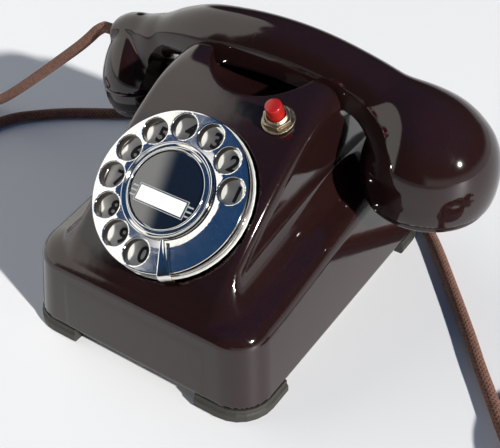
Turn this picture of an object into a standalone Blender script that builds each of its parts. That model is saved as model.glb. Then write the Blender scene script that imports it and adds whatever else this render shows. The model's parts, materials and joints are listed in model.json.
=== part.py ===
"""Bakelite desk telephone with a rotary dial, a red push button and cloth-covered cords.

Metres, +Z up. X runs along the handset, the dial faces -Y, and the rubber feet stand on z = 0.
The origin is under the middle of the telephone's box, cords apart.
"""

import math

import bmesh
import bpy
from mathutils import Matrix, Vector

MM = 0.001
GAP = 0.3

# Driving dimensions, in millimetres.
BODY_X = -3.5
BASE_HALF_WIDTH = 68.0
BASE_HALF_DEPTH = 91.0
BASE_CORNER = 18.0
SKIRT_BOTTOM = 8.0
LEDGE_FRONT = 43.0
LEDGE_RISE = 12.0
NECK_HALF_WIDTH = 45.0
HORN_TOP = 120.8
HORN_ROUND = 14.0
SCOOP_DEPTH = 7.0
SCOOP_HALF_WIDTH = 34.0
BOWL_Y = 27.0
BOWL_HALF_WIDTH = 29.0
BOWL_HALF_DEPTH = 26.2
WALL = 3.5
CAVITY_TOP = 96.0
LINE_GLAND = (15.5, 91.0)
HANDSET_GLAND = (-21.5, 91.0)
GLAND_Z = 18.5
FOOT_ARM = 31.0
FOOT_THICKNESS = 17.0
FOOT_LEVELS = ((0.0, 0.5), (1.2, 1.4), (4.6, 1.2), (5.2, 0.4), (7.7, 0.2))  # height, growth

DIAL_Y = -56.0
DIAL_Z = 88.5
DIAL_TILT = math.radians(39.2)
FACE_SINK = 9.2
WHEEL_RADIUS = 39.0
HOLE_CIRCLE = 31.0
HOLE_RADIUS = 6.3
HOLE_PITCH = math.radians(27.6)
FIRST_HOLE = math.radians(20.2)
BEZEL_RADIUS = 41.4
PLATE_DEPTH = 7.0

CRADLE_Y = 38.0
CRADLE_FLOOR = 101.5
TROUGH_HALF_WIDTH = 15.6
PLUNGER_X = 30.0
PLUNGER_TOP = 104.1
LEVER_Y = 14.0
LEVER_Z = 83.2
GONG_X = 27.0
GONG_Y = 56.0
COIL_X = 11.0
COIL_Y = 14.0

HANDSET_TOP = 133.5
HANDSET_DROOP = 18.0
HANDLE_HALF_WIDTH = 14.5
RECEIVER_X = 86.0
MOUTHPIECE = (-87.3, 56.0)  # x and z of the middle of its face
MOUTHPIECE_LEAN = math.radians(-9)
MOUTHPIECE_RADIUS = 23.2
NOSE_Z = 96.0
CORD_STUB_END = -113.1

BUTTON = (28.0, 51.0)
CORD_RADIUS = 3.2
COIL_RADIUS = 36.0
PLUG_HEIGHT = 13.1
PLUG_AHEAD = 58.0
PIN_SPACING = 9.5


# ---------------------------------------------------------------- materials and helpers


def material(name, colour, roughness, metallic=0.0):
    """A plain Principled material."""
    made = bpy.data.materials.new(name)
    made.use_nodes = True
    shader = made.node_tree.nodes["Principled BSDF"]
    shader.inputs["Base Color"].default_value = (*colour, 1.0)
    shader.inputs["Roughness"].default_value = roughness
    shader.inputs["Metallic"].default_value = metallic
    return made


def finish(name, mesh_data, colour, parent=None, sharp=35):
    """Puts a bmesh (millimetres) into the scene as a named, shaded object."""
    bmesh.ops.scale(mesh_data, vec=(MM, MM, MM), verts=mesh_data.verts)
    bmesh.ops.recalc_face_normals(mesh_data, faces=mesh_data.faces)
    data = bpy.data.meshes.new(name)
    mesh_data.to_mesh(data)
    mesh_data.free()
    data.shade_smooth()
    data.set_sharp_from_angle(angle=math.radians(sharp))
    made = bpy.data.objects.new(name, data)
    bpy.context.scene.collection.objects.link(made)
    if colour:
        data.materials.append(material(name + "_finish", *colour))
    if parent:
        made.parent = parent
    return made


def loft(rings):
    """A closed solid through rings of equal point counts, with flat end caps."""
    made = bmesh.new()
    rows = [[made.verts.new(point) for point in ring] for ring in rings]
    count = len(rings[0])
    for low, high in zip(rows, rows[1:]):
        for i in range(count):
            j = (i + 1) % count
            made.faces.new((low[i], low[j], high[j], high[i]))
    made.faces.new(rows[0][::-1])
    made.faces.new(rows[-1])
    return made


def turned(profile, steps=32, ring=False, centre=(0, 0, 0)):
    """Turns (radius, z) points about Z. A ring's profile closes on itself; another ends on the axis."""
    made = bmesh.new()
    rows = []
    for radius, z in profile:
        if radius < 1e-6:
            rows.append([made.verts.new((centre[0], centre[1], centre[2] + z))])
            continue
        row = []
        for i in range(steps):
            angle = 2 * math.pi * i / steps
            x = centre[0] + radius * math.cos(angle)
            y = centre[1] + radius * math.sin(angle)
            row.append(made.verts.new((x, y, centre[2] + z)))
        rows.append(row)
    pairs = list(zip(rows, rows[1:]))
    if ring:
        pairs.append((rows[-1], rows[0]))
    for low, high in pairs:
        for i in range(steps):
            j = (i + 1) % steps
            face = [low[i % len(low)], low[j % len(low)], high[j % len(high)], high[i % len(high)]]
            made.faces.new(list(dict.fromkeys(face)))
    return made


def block(size, centre, chamfer=0.0):
    """A box with its upright edges bevelled."""
    made = bmesh.new()
    bmesh.ops.create_cube(made, size=1.0)
    bmesh.ops.scale(made, vec=size, verts=made.verts)
    if chamfer:
        upright = [e for e in made.edges if abs(e.verts[0].co.z - e.verts[1].co.z) > 1e-6]
        bmesh.ops.bevel(made, geom=upright, offset=chamfer, segments=2, affect="EDGES", profile=0.5)
    bmesh.ops.translate(made, vec=centre, verts=made.verts)
    return made


def rod(radius, start, end, steps=16):
    """A round bar between two points."""
    a, b = Vector(start), Vector(end)
    made = bmesh.new()
    bmesh.ops.create_cone(
        made, cap_ends=True, segments=steps, radius1=radius, radius2=radius, depth=(b - a).length
    )
    turn = (b - a).to_track_quat("Z", "Y").to_matrix().to_4x4()
    bmesh.ops.transform(made, matrix=Matrix.Translation((a + b) / 2) @ turn, verts=made.verts)
    return made


def extruded(outline, axis_points):
    """A prism: the outline function gives the ring of points at each place along it."""
    return loft([outline(place) for place in axis_points])


def boolean(target, cutter, operation="DIFFERENCE"):
    """Applies one Boolean and removes the cutter."""
    modifier = target.modifiers.new(operation.lower(), "BOOLEAN")
    modifier.operation = operation
    modifier.solver = "EXACT"
    modifier.object = cutter
    bpy.context.view_layer.update()
    graph = bpy.context.evaluated_depsgraph_get()
    result = bpy.data.meshes.new_from_object(target.evaluated_get(graph))
    target.modifiers.clear()
    old = target.data
    target.data = result
    bpy.data.meshes.remove(old)
    bpy.data.objects.remove(cutter)
    target.data.set_sharp_from_angle(angle=math.radians(35))


def cut(target, shape, parent=None):
    """Cuts a bmesh out of an object; a parent empty gives the frame the shape was drawn in."""
    boolean(target, finish("cutter", shape, None, parent))


def add(target, shape, parent=None):
    """Joins a bmesh to an object as one solid."""
    boolean(target, finish("addition", shape, None, parent), "UNION")


def empty(name, place, parent=None, tilt=0.0, lean=0.0):
    """An axis or a frame that parts hang on, turned about X by tilt or about Y by lean."""
    made = bpy.data.objects.new(name, None)
    made.location = Vector(place) * MM
    made.rotation_euler = (tilt, lean, 0)
    made.parent = parent
    bpy.context.scene.collection.objects.link(made)
    return made


BAKELITE = ((0.045, 0.016, 0.014), 0.12)
CHROME = ((0.78, 0.78, 0.78), 0.08, 1.0)
STEEL = ((0.55, 0.55, 0.53), 0.35, 1.0)
BRASS = ((0.62, 0.47, 0.22), 0.35, 1.0)
RUBBER = ((0.03, 0.03, 0.025), 0.7)
ENAMEL = ((0.55, 0.54, 0.50), 0.45)
BLACK = ((0.01, 0.011, 0.014), 0.08)
PAPER = ((0.85, 0.85, 0.82), 0.6)
RED = ((0.6, 0.01, 0.01), 0.3)
COPPER = ((0.45, 0.2, 0.1), 0.45)
PAXOLIN = ((0.25, 0.12, 0.05), 0.5)
CLOTH = ((0.14, 0.05, 0.025), 0.85)


# ---------------------------------------------------------------- the body's shape


def face_height(u):
    """How far the front face lies behind the dial plane, at u up the slope."""
    if u < 0:
        return -FACE_SINK - 0.0019 * u * u
    return -FACE_SINK - 0.0015 * u * u - 0.000012 * u ** 3


def face_slope(u):
    """The angle by which the face has turned back from the dial plane, for u over 0."""
    return math.atan(0.0030 * u + 0.000036 * u * u)


def face_point(u):
    """The y and z of the face at u."""
    sine, cosine = math.sin(DIAL_TILT), math.cos(DIAL_TILT)
    h = face_height(u)
    return DIAL_Y - h * sine + u * cosine, DIAL_Z + h * cosine + u * sine


def front_edge(z):
    """The y of the front face at height z."""
    low, high = -80.0, 110.0
    for _ in range(40):
        middle = (low + high) / 2
        if face_point(middle)[1] < z:
            low = middle
        else:
            high = middle
    return face_point(low)[0]


def smooth(t):
    """0 below 0, 1 above 1, and a smooth step between."""
    t = min(1.0, max(0.0, t))
    return t * t * (3 - 2 * t)


def rounded_rectangle(half_width, front, rear, corner, per_side=6, per_corner=4):
    """Points of a rounded rectangle, counter-clockwise seen from above."""
    inner = half_width - corner
    corners = [
        (inner, front + corner, -90),
        (inner, rear - corner, 0),
        (-inner, rear - corner, 90),
        (-inner, front + corner, 180),
    ]
    points = []
    for k, (x, y, start) in enumerate(corners):
        for i in range(per_corner + 1):
            angle = math.radians(start + 90 * i / per_corner)
            points.append((x + corner * math.cos(angle), y + corner * math.sin(angle)))
        nx, ny, nstart = corners[(k + 1) % 4]
        angle = math.radians(nstart)
        a = points[-1]
        b = (nx + corner * math.cos(angle), ny + corner * math.sin(angle))
        for i in range(1, per_side):
            t = i / per_side
            points.append((a[0] + (b[0] - a[0]) * t, a[1] + (b[1] - a[1]) * t))
    return points


def rear_edge(z):
    """The y of the rear face at height z, a shallow hollow curve."""
    t = min(1.0, max(0.0, (z - 56.0) / (HORN_TOP - 56.0)))
    return 58.0 + 27.0 * (1 - t) ** 2


def body_ring(z, half_width, front, rear, corner, ledge):
    """One level of the outside. ledge says how much of the shoulder's rise the level has."""
    ring = []
    for x, y in rounded_rectangle(half_width, front, rear, corner):
        rise = LEDGE_RISE * smooth((y + 85.0) / 110.0) * ledge
        ring.append((x, y, z + rise))
    return ring


def neck_half_width(z):
    """Half the neck's width at height z: upright, then rounding over at the horns."""
    over = max(0.0, z - (HORN_TOP - HORN_ROUND))
    return NECK_HALF_WIDTH - HORN_ROUND + math.sqrt(max(0.0, HORN_ROUND ** 2 - over ** 2))


def body_rings(inset=0.0, top=HORN_TOP, bottom=SKIRT_BOTTOM):
    """The levels of the outside, or of the hollow when inset is the wall's thickness."""
    width, depth = BASE_HALF_WIDTH, BASE_HALF_DEPTH
    ledge = LEDGE_FRONT
    levels = [
        (bottom, width, -depth, depth, BASE_CORNER, 0.0),
        (ledge - 3, width - 3.0, -depth + 3.0, depth - 3.0, 17.0, 1.0),
        (ledge + 0, width - 3.8, -depth + 3.8, depth - 3.8, 16.5, 1.0),
        (ledge + 2.6, width - 5.4, -depth + 5.2, depth - 5.2, 15.5, 1.0),
        (ledge + 4.4, width - 8.4, -depth + 7.6, depth - 7.2, 13.5, 1.0),
        (ledge + 6.4, width - 12.4, -depth + 11.0, depth - 9.4, 11.0, 0.97),
        (ledge + 10.5, width - 16.6, -depth + 16.6, depth - 12.6, 9.0, 0.85),
        (ledge + 17, width - 19.8, front_edge(ledge + 17), rear_edge(ledge + 25), 7.5, 0.6),
        (ledge + 27, NECK_HALF_WIDTH + 1.4, front_edge(ledge + 27), rear_edge(ledge + 31), 7.0, 0.3),
    ]
    rings = []
    for z, half, front, rear, corner, share in levels:
        sink = 0.0 if z == bottom else inset * 0.8
        radius = max(1.5, corner - inset)
        slope = inset * 1.35 if z > ledge + 4 else inset
        rings.append(body_ring(z - sink, half - inset, front + slope, rear - inset, radius, share))
    corner = max(1.5, 6.5 - inset)
    upper = [z for z in (80.0, 90.0, 100.0, 107.0, 112.0, 116.0, 119.0) if z < top - 0.5]
    for z in upper + [top]:
        half = neck_half_width(z) - inset
        rings.append(body_ring(z, half, front_edge(z) + inset * 1.6, rear_edge(z) - inset, corner, 0.0))
    return rings


def scoop_height(x):
    """Height of the rear wall's lip, between the horns."""
    return HORN_TOP - SCOOP_DEPTH * (1 + math.cos(math.pi * min(1.0, abs(x) / SCOOP_HALF_WIDTH))) / 2


def scoop_outline(y):
    """A slice of the cutter that lowers the rear wall between the horns."""
    steps = 16
    xs = [SCOOP_HALF_WIDTH * (2 * i / steps - 1) for i in range(steps + 1)]
    low = [(x, y, scoop_height(x) + 0.2) for x in xs]
    return low + [(SCOOP_HALF_WIDTH + 2, y, HORN_TOP + 9), (-SCOOP_HALF_WIDTH - 2, y, HORN_TOP + 9)]


def trough_outline(x):
    """A slice of the cutter that the handle lies in."""
    steps = 14
    points = []
    for i in range(steps + 1):
        angle = math.pi * i / steps
        y = -TROUGH_HALF_WIDTH * math.copysign(abs(math.cos(angle)) ** 0.7, math.cos(angle))
        z = CRADLE_FLOOR + 15.0 * (1 - math.sin(angle) ** 0.7)
        points.append((x, CRADLE_Y + y, z))
    top = HORN_TOP + 9
    return points + [
        (x, CRADLE_Y + TROUGH_HALF_WIDTH, top),
        (x, CRADLE_Y - TROUGH_HALF_WIDTH - 5.4, top),
        (x, CRADLE_Y - TROUGH_HALF_WIDTH - 5.4, HORN_TOP),
    ]


def bowl_rings():
    """The round finger room under the handle, whose front edge is the scoop in the face."""
    rings = []
    steps = 40
    levels = ((0.0, 0.66), (1.5, 0.8), (4.5, 0.89), (9.0, 0.95), (13.0, 0.985), (19.0, 1.0), (29.0, 1.02))
    for up, share in levels:
        ring = []
        for i in range(steps):
            angle = 2 * math.pi * i / steps
            x = BOWL_HALF_WIDTH * share * math.cos(angle)
            ring.append((x, BOWL_Y + BOWL_HALF_DEPTH * share * math.sin(angle), CRADLE_FLOOR + up))
        rings.append(ring)
    return rings


def make_body(frame, dial, button):
    """The moulded shell with its openings."""
    body = finish("body_shell", loft(body_rings()), BAKELITE, frame)
    cut(body, loft(body_rings(WALL, CAVITY_TOP, SKIRT_BOTTOM - 2.0)), frame)
    cut(body, extruded(trough_outline, (-60.0, 60.0)), frame)
    cut(body, loft(bowl_rings()), frame)
    cut(body, extruded(scoop_outline, (CRADLE_Y, 80.0)), frame)
    cut(body, rod(BEZEL_RADIUS + GAP, (0, 0, -34), (0, 0, 12), 48), dial)
    cut(body, rod(5.8, (0, 0, -40), (0, 0, 6), 20), button)
    for side in (-1, 1):
        x = side * PLUNGER_X
        cut(body, rod(3.4, (x, CRADLE_Y, 80), (x, CRADLE_Y, 112), 16), frame)
    for x in (LINE_GLAND[0], HANDSET_GLAND[0]):
        cut(body, rod(6.3, (x, 70, GLAND_Z), (x, 110, GLAND_Z), 20), frame)
    return body


# ---------------------------------------------------------------- base and feet

def make_base(frame):
    """The closing plate, its four corner feet and their screws."""
    inset = WALL + GAP + 0.4
    outline = rounded_rectangle(
        BASE_HALF_WIDTH - inset, -BASE_HALF_DEPTH + inset, BASE_HALF_DEPTH - inset, BASE_CORNER - inset
    )
    plate = loft([[(x, y, z) for x, y in outline] for z in (8.3, 10.3)])
    plate = finish("base_plate", plate, STEEL, frame)
    names = {(-1, -1): "front_left", (1, -1): "front_right", (-1, 1): "rear_left", (1, 1): "rear_right"}
    for (sx, sy), name in names.items():
        foot_points = foot_outline(sx, sy)
        foot = loft([foot_level(foot_points, z, grow) for z, grow in FOOT_LEVELS])
        finish("foot_" + name, foot, RUBBER, frame)
        x, y = sx * 54.0, sy * 77.0
        cut(plate, rod(2.3, (x, y, 6), (x, y, 13), 12), frame)
        screw = turned([(0, 7.9), (1.8, 7.9), (1.8, 10.6), (3.6, 10.6), (3.2, 12.4), (0, 12.8)], 12)
        bmesh.ops.translate(screw, vec=(x, y, 0), verts=screw.verts)
        finish("base_screw_" + name, screw, STEEL, frame)
    return plate


def foot_outline(sx, sy):
    """The L-shaped plan of a corner foot, as (x, y, how much of the outward growth it takes)."""
    arm, thick = FOOT_ARM, FOOT_THICKNESS
    outer_x, outer_y, corner = BASE_HALF_WIDTH, BASE_HALF_DEPTH, BASE_CORNER
    points = [(outer_x - arm, outer_y, 1.0)]
    for i in range(7):
        angle = math.radians(90 - 90 * i / 6)
        x = outer_x - corner + corner * math.cos(angle)
        y = outer_y - corner + corner * math.sin(angle)
        points.append((x, y, 1.0))
    points += [
        (outer_x, outer_y - arm, 1.0),
        (outer_x - 8.0, outer_y - arm, 0.0),
        (outer_x - thick, outer_y - thick - 6, 0.0),
        (outer_x - thick - 6, outer_y - thick, 0.0),
        (outer_x - arm, outer_y - 8.0, 0.0),
    ]
    made = [(sx * x, sy * y, share) for x, y, share in points]
    return made if sx * sy < 0 else made[::-1]


def foot_level(points, z, grow):
    """One level of a foot, grown outwards from the body's middle."""
    level = []
    for x, y, share in points:
        push_x = math.copysign(abs(x / BASE_HALF_WIDTH) ** 6, x) * grow * share
        push_y = math.copysign(abs(y / BASE_HALF_DEPTH) ** 6, y) * grow * share
        level.append((x + push_x, y + push_y, z))
    return level


# ---------------------------------------------------------------- dial


def wheel_mesh():
    """The finger wheel: a flat disc with a turned-down rim."""
    rim = WHEEL_RADIUS
    profile = [
        (8.3, -1.6),
        (8.3, 0.0),
        (rim - 1.6, 0.0),
        (rim - 0.4, -0.6),
        (rim, -1.8),
        (rim, -3.2),
        (rim - 1.0, -3.2),
        (rim - 1.0, -1.9),
        (rim - 1.6, -1.4),
        (rim - 2.2, -1.6),
    ]
    return turned(profile, 60, ring=True)


def make_dial(dial, turning, pinion):
    """The dial: fixed bezel, number plate, case and finger stop, and everything that turns."""
    bezel = [(BEZEL_RADIUS, -16.0), (BEZEL_RADIUS, -4.6), (BEZEL_RADIUS - 0.8, -3.6)]
    bezel += [(BEZEL_RADIUS - 1.5, -4.2), (BEZEL_RADIUS - 1.5, -16.0)]
    finish("dial_bezel", turned(bezel, 56, ring=True), CHROME, dial)
    outer = BEZEL_RADIUS - 1.5 - GAP
    top = -PLATE_DEPTH
    plate = [(9.0, top - 1.0), (outer, top - 1.0), (outer, top), (9.0, top)]
    finish("number_plate", turned(plate, 48, ring=True), ENAMEL, dial)
    top -= 1.0 + GAP
    cup = [(36.0, top), (36.0, -31.0), (3.6, -31.0), (3.6, -29.5), (34.5, -29.5), (34.5, top)]
    finish("dial_case", turned(cup, 40, ring=True), STEEL, dial)
    finger_stop(dial)
    wheel = finish("finger_wheel", wheel_mesh(), CHROME, turning)
    for i in range(10):
        angle = FIRST_HOLE + i * HOLE_PITCH
        x, y = HOLE_CIRCLE * math.cos(angle), HOLE_CIRCLE * math.sin(angle)
        cut(wheel, rod(HOLE_RADIUS, (x, y, -6), (x, y, 4), 20), turning)
    ring = [(18.6, 0.3), (22.6, 0.3), (22.9, 1.2), (22.0, 2.2), (20.6, 1.5), (19.6, 2.4), (18.6, 1.8)]
    finish("centre_ring", turned(ring, 40, ring=True), CHROME, turning)
    disc = [(0, 0.3), (18.3, 0.3), (18.3, 1.3), (0, 1.3)]
    finish("label_disc", turned(disc, 40), BLACK, turning)
    finish("label_card", block((25.4, 7.0, 0.3), (0, -5.6, 1.75)), PAPER, turning)
    shaft = [(0, -27.0), (3.0, -27.0), (3.0, -9.6), (5.0, -9.6), (5.0, -1.9), (8.0, -1.9), (8.0, 0.0), (0, 0.0)]
    finish("dial_shaft", turned(shaft, 24), STEEL, turning)
    gear = turned([(3.3, -16.0), (16.0, -16.0), (16.0, -14.4), (3.3, -14.4)], 48, ring=True)
    finish("main_gear", toothed(gear, 16.0), BRASS, turning)
    impulse = turned([(0, -24.0), (1.2, -24.0), (1.2, -21.0), (7.5, -21.0), (7.5, -19.5), (1.2, -19.5),
                      (1.2, -16.4), (3.7, -16.4), (3.7, -13.6), (1.2, -13.6), (1.2, -12.0), (0, -12.0)], 24)
    finish("impulse_wheel", impulse, BRASS, pinion)


def toothed(gear, radius):
    """Gives a turned disc teeth by drawing in every other pair of its outer points."""
    tooth_depth = 1.0
    for vert in gear.verts:
        flat = Vector((vert.co.x, vert.co.y))
        if flat.length > radius - 0.1:
            step = round(math.atan2(flat.y, flat.x) / (2 * math.pi / 48)) % 4
            if step < 2:
                vert.co.xy = flat * ((radius - tooth_depth) / radius)
    return gear


def finger_stop(dial):
    """The curved hook that ends each turn of the wheel."""
    path = [  # radius, degrees, height over the wheel, half width
        (43.2, -58.0, -11.0, 3.2),
        (43.2, -58.0, -4.8, 3.4),
        (42.3, -58.5, -1.6, 3.6),
        (40.2, -59.5, 0.9, 3.8),
        (37.0, -60.5, 1.7, 3.4),
        (33.0, -61.8, 2.2, 2.6),
        (28.0, -63.2, 2.6, 1.9),
        (23.9, -64.4, 2.7, 1.1),
    ]
    places = [Vector((r * math.cos(math.radians(t)), r * math.sin(math.radians(t)), h)) for r, t, h, _ in path]
    rings = []
    for i, (_, degrees, _, half) in enumerate(path):
        along = (places[min(i + 1, len(path) - 1)] - places[max(i - 1, 0)]).normalized()
        side = Vector((-math.sin(math.radians(degrees)), math.cos(math.radians(degrees)), 0.0))
        up = side.cross(along).normalized() * 0.6
        ring = []
        for k in range(10):
            angle = 2 * math.pi * k / 10
            ring.append(places[i] + side * half * math.cos(angle) + up * math.sin(angle))
        rings.append(ring)
    return finish("finger_stop", loft(rings), CHROME, dial)


# ---------------------------------------------------------------- button


def make_button(place, button):
    """The red push button in its threaded bush, with the nut and washer that clamp it."""
    washer = [(6.0, 0.4), (8.0, 0.4), (8.0, 1.4), (6.0, 1.4)]
    finish("button_washer", turned(washer, 32, ring=True), BRASS, place)
    nut = [(0, 1.7), (7.4, 1.7), (7.4, 3.9), (7.0, 4.3), (0, 4.3)]
    nut = finish("button_nut", turned(nut, 6), BRASS, place)
    cut(nut, rod(5.7, (0, 0, 0), (0, 0, 6), 24), place)
    bush = [(4.5, -18.0), (5.4, -18.0), (5.4, 5.1), (5.0, 5.7), (4.5, 5.7)]
    finish("button_bush", turned(bush, 24, ring=True), BRASS, place)
    cap = [(0, -14.0), (2.0, -14.0), (2.0, -3.0), (4.15, -3.0), (4.15, 9.6), (3.6, 10.5), (2.2, 11.1),
           (0, 11.3)]
    finish("button_cap", turned(cap, 24), RED, button)
    contacts = rod(5.2, (0, 0, -25.0), (0, 0, -18.4), 16)
    finish("button_contact_block", contacts, PAXOLIN, place)


# ---------------------------------------------------------------- cradle switch and bell


def make_switch(frame, plungers, lever):
    """The two plungers in the cradle, the lever under them and the contact springs."""
    for side, name in ((-1, "left"), (1, "right")):
        pin = [(0, 84.6), (3.0, 84.6), (3.0, PLUNGER_TOP - 1.0), (2.2, PLUNGER_TOP), (0, PLUNGER_TOP)]
        shape = turned(pin, 20, centre=(side * PLUNGER_X, CRADLE_Y, 0))
        finish("hook_plunger_" + name, shape, BAKELITE, plungers)
    arm = block((66.0, 9.0, 2.0), (0, CRADLE_Y, 83.2))
    plate = finish("hook_lever", arm, STEEL, lever)
    for x in (-20.0, 20.0):
        add(plate, block((6.0, 26.0, 2.0), (x, CRADLE_Y - 13.0, 83.2)), lever)
    add(plate, rod(2.6, (-27.0, LEVER_Y, LEVER_Z), (27.0, LEVER_Y, LEVER_Z), 16), lever)
    bracket = finish("hook_bracket", block((3.0, 12.0, 26.0), (-30.5, LEVER_Y, 73.0)), STEEL, frame)
    add(bracket, block((3.0, 12.0, 26.0), (30.5, LEVER_Y, 73.0)), frame)
    add(bracket, block((64.0, 12.0, 2.0), (0, LEVER_Y, 60.0)), frame)
    finish("contact_springs", block((26.0, 16.0, 8.0), (0, LEVER_Y + 8.0, 68.0), 1.0), BRASS, frame)


def make_bell(frame, armature):
    """Two gongs on posts, the ringer's coils and frame, and the clapper that swings between."""
    for side, name in ((-1, "left"), (1, "right")):
        x = side * GONG_X
        gong = [(3.4, 46.0), (9.0, 46.0), (18.5, 41.5), (21.0, 34.0), (21.5, 27.0), (20.3, 27.0),
                (19.7, 33.6), (17.6, 40.4), (8.8, 44.7), (3.4, 44.7)]
        finish("gong_" + name, turned(gong, 32, ring=True, centre=(x, GONG_Y, 0)), BRASS, frame)
        post = [(0, 10.6), (5.0, 10.6), (5.0, 14.0), (3.0, 14.0), (3.0, 49.0), (0, 49.0)]
        finish("gong_post_" + name, turned(post, 16, centre=(x, GONG_Y, 0)), STEEL, frame)
        coil = turned([(0, 13.2), (8.0, 13.2), (8.0, 36.0), (0, 36.0)], 24, centre=(side * COIL_X, COIL_Y, 0))
        finish("ringer_coil_" + name, coil, COPPER, frame)
    finish("ringer_frame", block((46.0, 20.0, 2.2), (0, COIL_Y, 11.8)), STEEL, frame)
    bar = block((30.0, 8.0, 2.2), (0, COIL_Y, 38.0))
    clapper = finish("ringer_armature", bar, STEEL, armature)
    add(clapper, rod(0.9, (0, COIL_Y, 38.0), (0, GONG_Y - 1.0, 38.0), 8), armature)
    add(clapper, rod(3.2, (0, GONG_Y, 35.6), (0, GONG_Y, 40.2), 16), armature)


def make_electrics(frame):
    """What else stands on the base plate: the speech coil, the capacitor and the terminals."""
    winding = rod(9.5, (-30.0, -46.0, 21.0), (22.0, -46.0, 21.0), 20)
    finish("induction_coil", winding, COPPER, frame)
    finish("capacitor", block((40.0, 22.0, 20.0), (-22.0, -20.0, 20.8), 1.0), STEEL, frame)
    finish("terminal_block", block((46.0, 12.0, 12.0), (20.0, -71.0, 16.8), 1.0), PAXOLIN, frame)


# ---------------------------------------------------------------- handset


def handset_top(x):
    """Height of the handle's upper line."""
    return HANDSET_TOP - HANDSET_DROOP * (x / 85.0) ** 2


def handle_ring(x, top, bottom, half):
    """An upright section of the handle, a soft oblong."""
    ring = []
    for i in range(20):
        angle = 2 * math.pi * i / 20
        y = half * math.copysign(abs(math.cos(angle)) ** 0.85, math.cos(angle))
        z = 0.5 * (top - bottom) * math.copysign(abs(math.sin(angle)) ** 0.85, math.sin(angle))
        ring.append((x, CRADLE_Y + y, 0.5 * (top + bottom) + z))
    return ring


def dome_profile(low, straight, height, radius, power, steps=9):
    """A capsule housing: up from low, straight for a while, then a dome. The last point is on the axis."""
    profile = [(0, low), (radius, low)]
    for i in range(steps + 1):
        out = math.cos(0.5 * math.pi * i / steps)
        profile.append((radius * out, straight + height * (1 - out ** power) ** (1 / power)))
    profile[-1] = (0, straight + height)
    return profile


def make_handset(lift, mouth):
    """The handset: a moulded handle with two capsules under screwed caps."""
    sections = [  # x, how far the top lies under the arch, bottom, half width
        (-108.5, 3.0, 93.5, 5.0),
        (-106.8, 0.4, 91.5, 7.2),
        (-99.0, -1.1, 89.0, 9.3),
        (-92.5, 0.8, 88.0, 10.3),
        (-86.0, 3.4, 90.0, 11.3),
        (-73.0, 4.3, 93.0, 12.5),
        (-60.0, 1.9, 98.0, 13.6),
        (-47.0, 0.3, 102.2, HANDLE_HALF_WIDTH),
        (-22.0, 0.0, 105.8, HANDLE_HALF_WIDTH),
        (0.0, 0.0, 107.0, HANDLE_HALF_WIDTH),
        (22.0, 0.0, 105.8, HANDLE_HALF_WIDTH),
        (45.0, 0.3, 102.4, HANDLE_HALF_WIDTH),
        (65.0, 0.3, 95.0, 15.5),
        (80.0, 0.0, 84.0, 18.0),
        (92.0, 2.0, 82.0, 18.0),
        (100.0, 6.0, 82.0, 12.0),
    ]
    rings = [handle_ring(x, handset_top(x) - under, bottom, half) for x, under, bottom, half in sections]
    shell = finish("handset_shell", loft(rings), BAKELITE, lift)
    receiver = (RECEIVER_X, CRADLE_Y, 0)
    dome = [(0, 67.0), (30.4, 67.0), (32.4, 70.5), (33.5, 77.0), (33.2, 85.0), (31.0, 94.0), (26.0, 102.5),
            (18.5, 109.0), (9.0, 112.5), (0, 113.5)]
    add(shell, turned(dome, 36, centre=receiver), lift)
    add(shell, turned(dome_profile(17.0, 18.5, 28.2, MOUTHPIECE_RADIUS, 1.85), 36), mouth)
    cut(shell, rod(26.5, (RECEIVER_X, CRADLE_Y, 60), (RECEIVER_X, CRADLE_Y, 83), 32), lift)
    cut(shell, rod(20.0, (0, 0, 8), (0, 0, 29.5), 32), mouth)
    cut(shell, rod(3.6, (-130, CRADLE_Y, NOSE_Z), (-102, CRADLE_Y, NOSE_Z), 16), lift)
    ear = [(0, 66.7), (29.6, 66.7), (30.3, 65.6), (30.0, 63.6), (27.6, 61.6), (12.0, 61.8), (0, 63.4)][::-1]
    finish("earpiece_cap", turned(ear, 40, centre=receiver), BAKELITE, lift)
    front = [(0, 2.0), (9.0, 0.5), (17.5, 0.0), (20.3, 1.4), (21.6, 4.2), (21.4, 5.0), (22.4, 6.2),
             (MOUTHPIECE_RADIUS, 11.0), (MOUTHPIECE_RADIUS, 15.6), (22.4, 16.6), (0, 16.6)]
    finish("mouthpiece_cap", turned(front, 40), BAKELITE, mouth)
    capsule = turned([(0, 67.1), (25.4, 67.1), (25.4, 80.5), (0, 82.0)], 28, centre=receiver)
    finish("receiver_capsule", capsule, STEEL, lift)
    capsule = turned([(0, 17.0), (19.4, 17.0), (19.4, 26.5), (0, 28.5)], 28)
    finish("transmitter_capsule", capsule, STEEL, mouth)
    stub = rod(CORD_RADIUS, (CORD_STUB_END, CRADLE_Y, NOSE_Z), (-103.0, CRADLE_Y, NOSE_Z), 16)
    finish("handset_cord_bush", stub, CLOTH, lift)


# ---------------------------------------------------------------- cords


def smooth_path(points, step, lead):
    """Places along a Catmull-Rom curve through the points, about a step apart. lead is where it comes from."""
    places = [Vector(p) for p in points]
    places = [places[0] + Vector(lead)] + places + [2 * places[-1] - places[-2]]
    made = []
    for a, b, c, d in zip(places, places[1:], places[2:], places[3:]):
        count = max(1, round((c - b).length / step))
        for i in range(count):
            t = i / count
            made.append(0.5 * ((2 * b) + (c - a) * t + (2 * a - 5 * b + 4 * c - d) * t * t
                               + (3 * b - a - 3 * c + d) * t ** 3))
    return made + [places[-2]]


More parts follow.
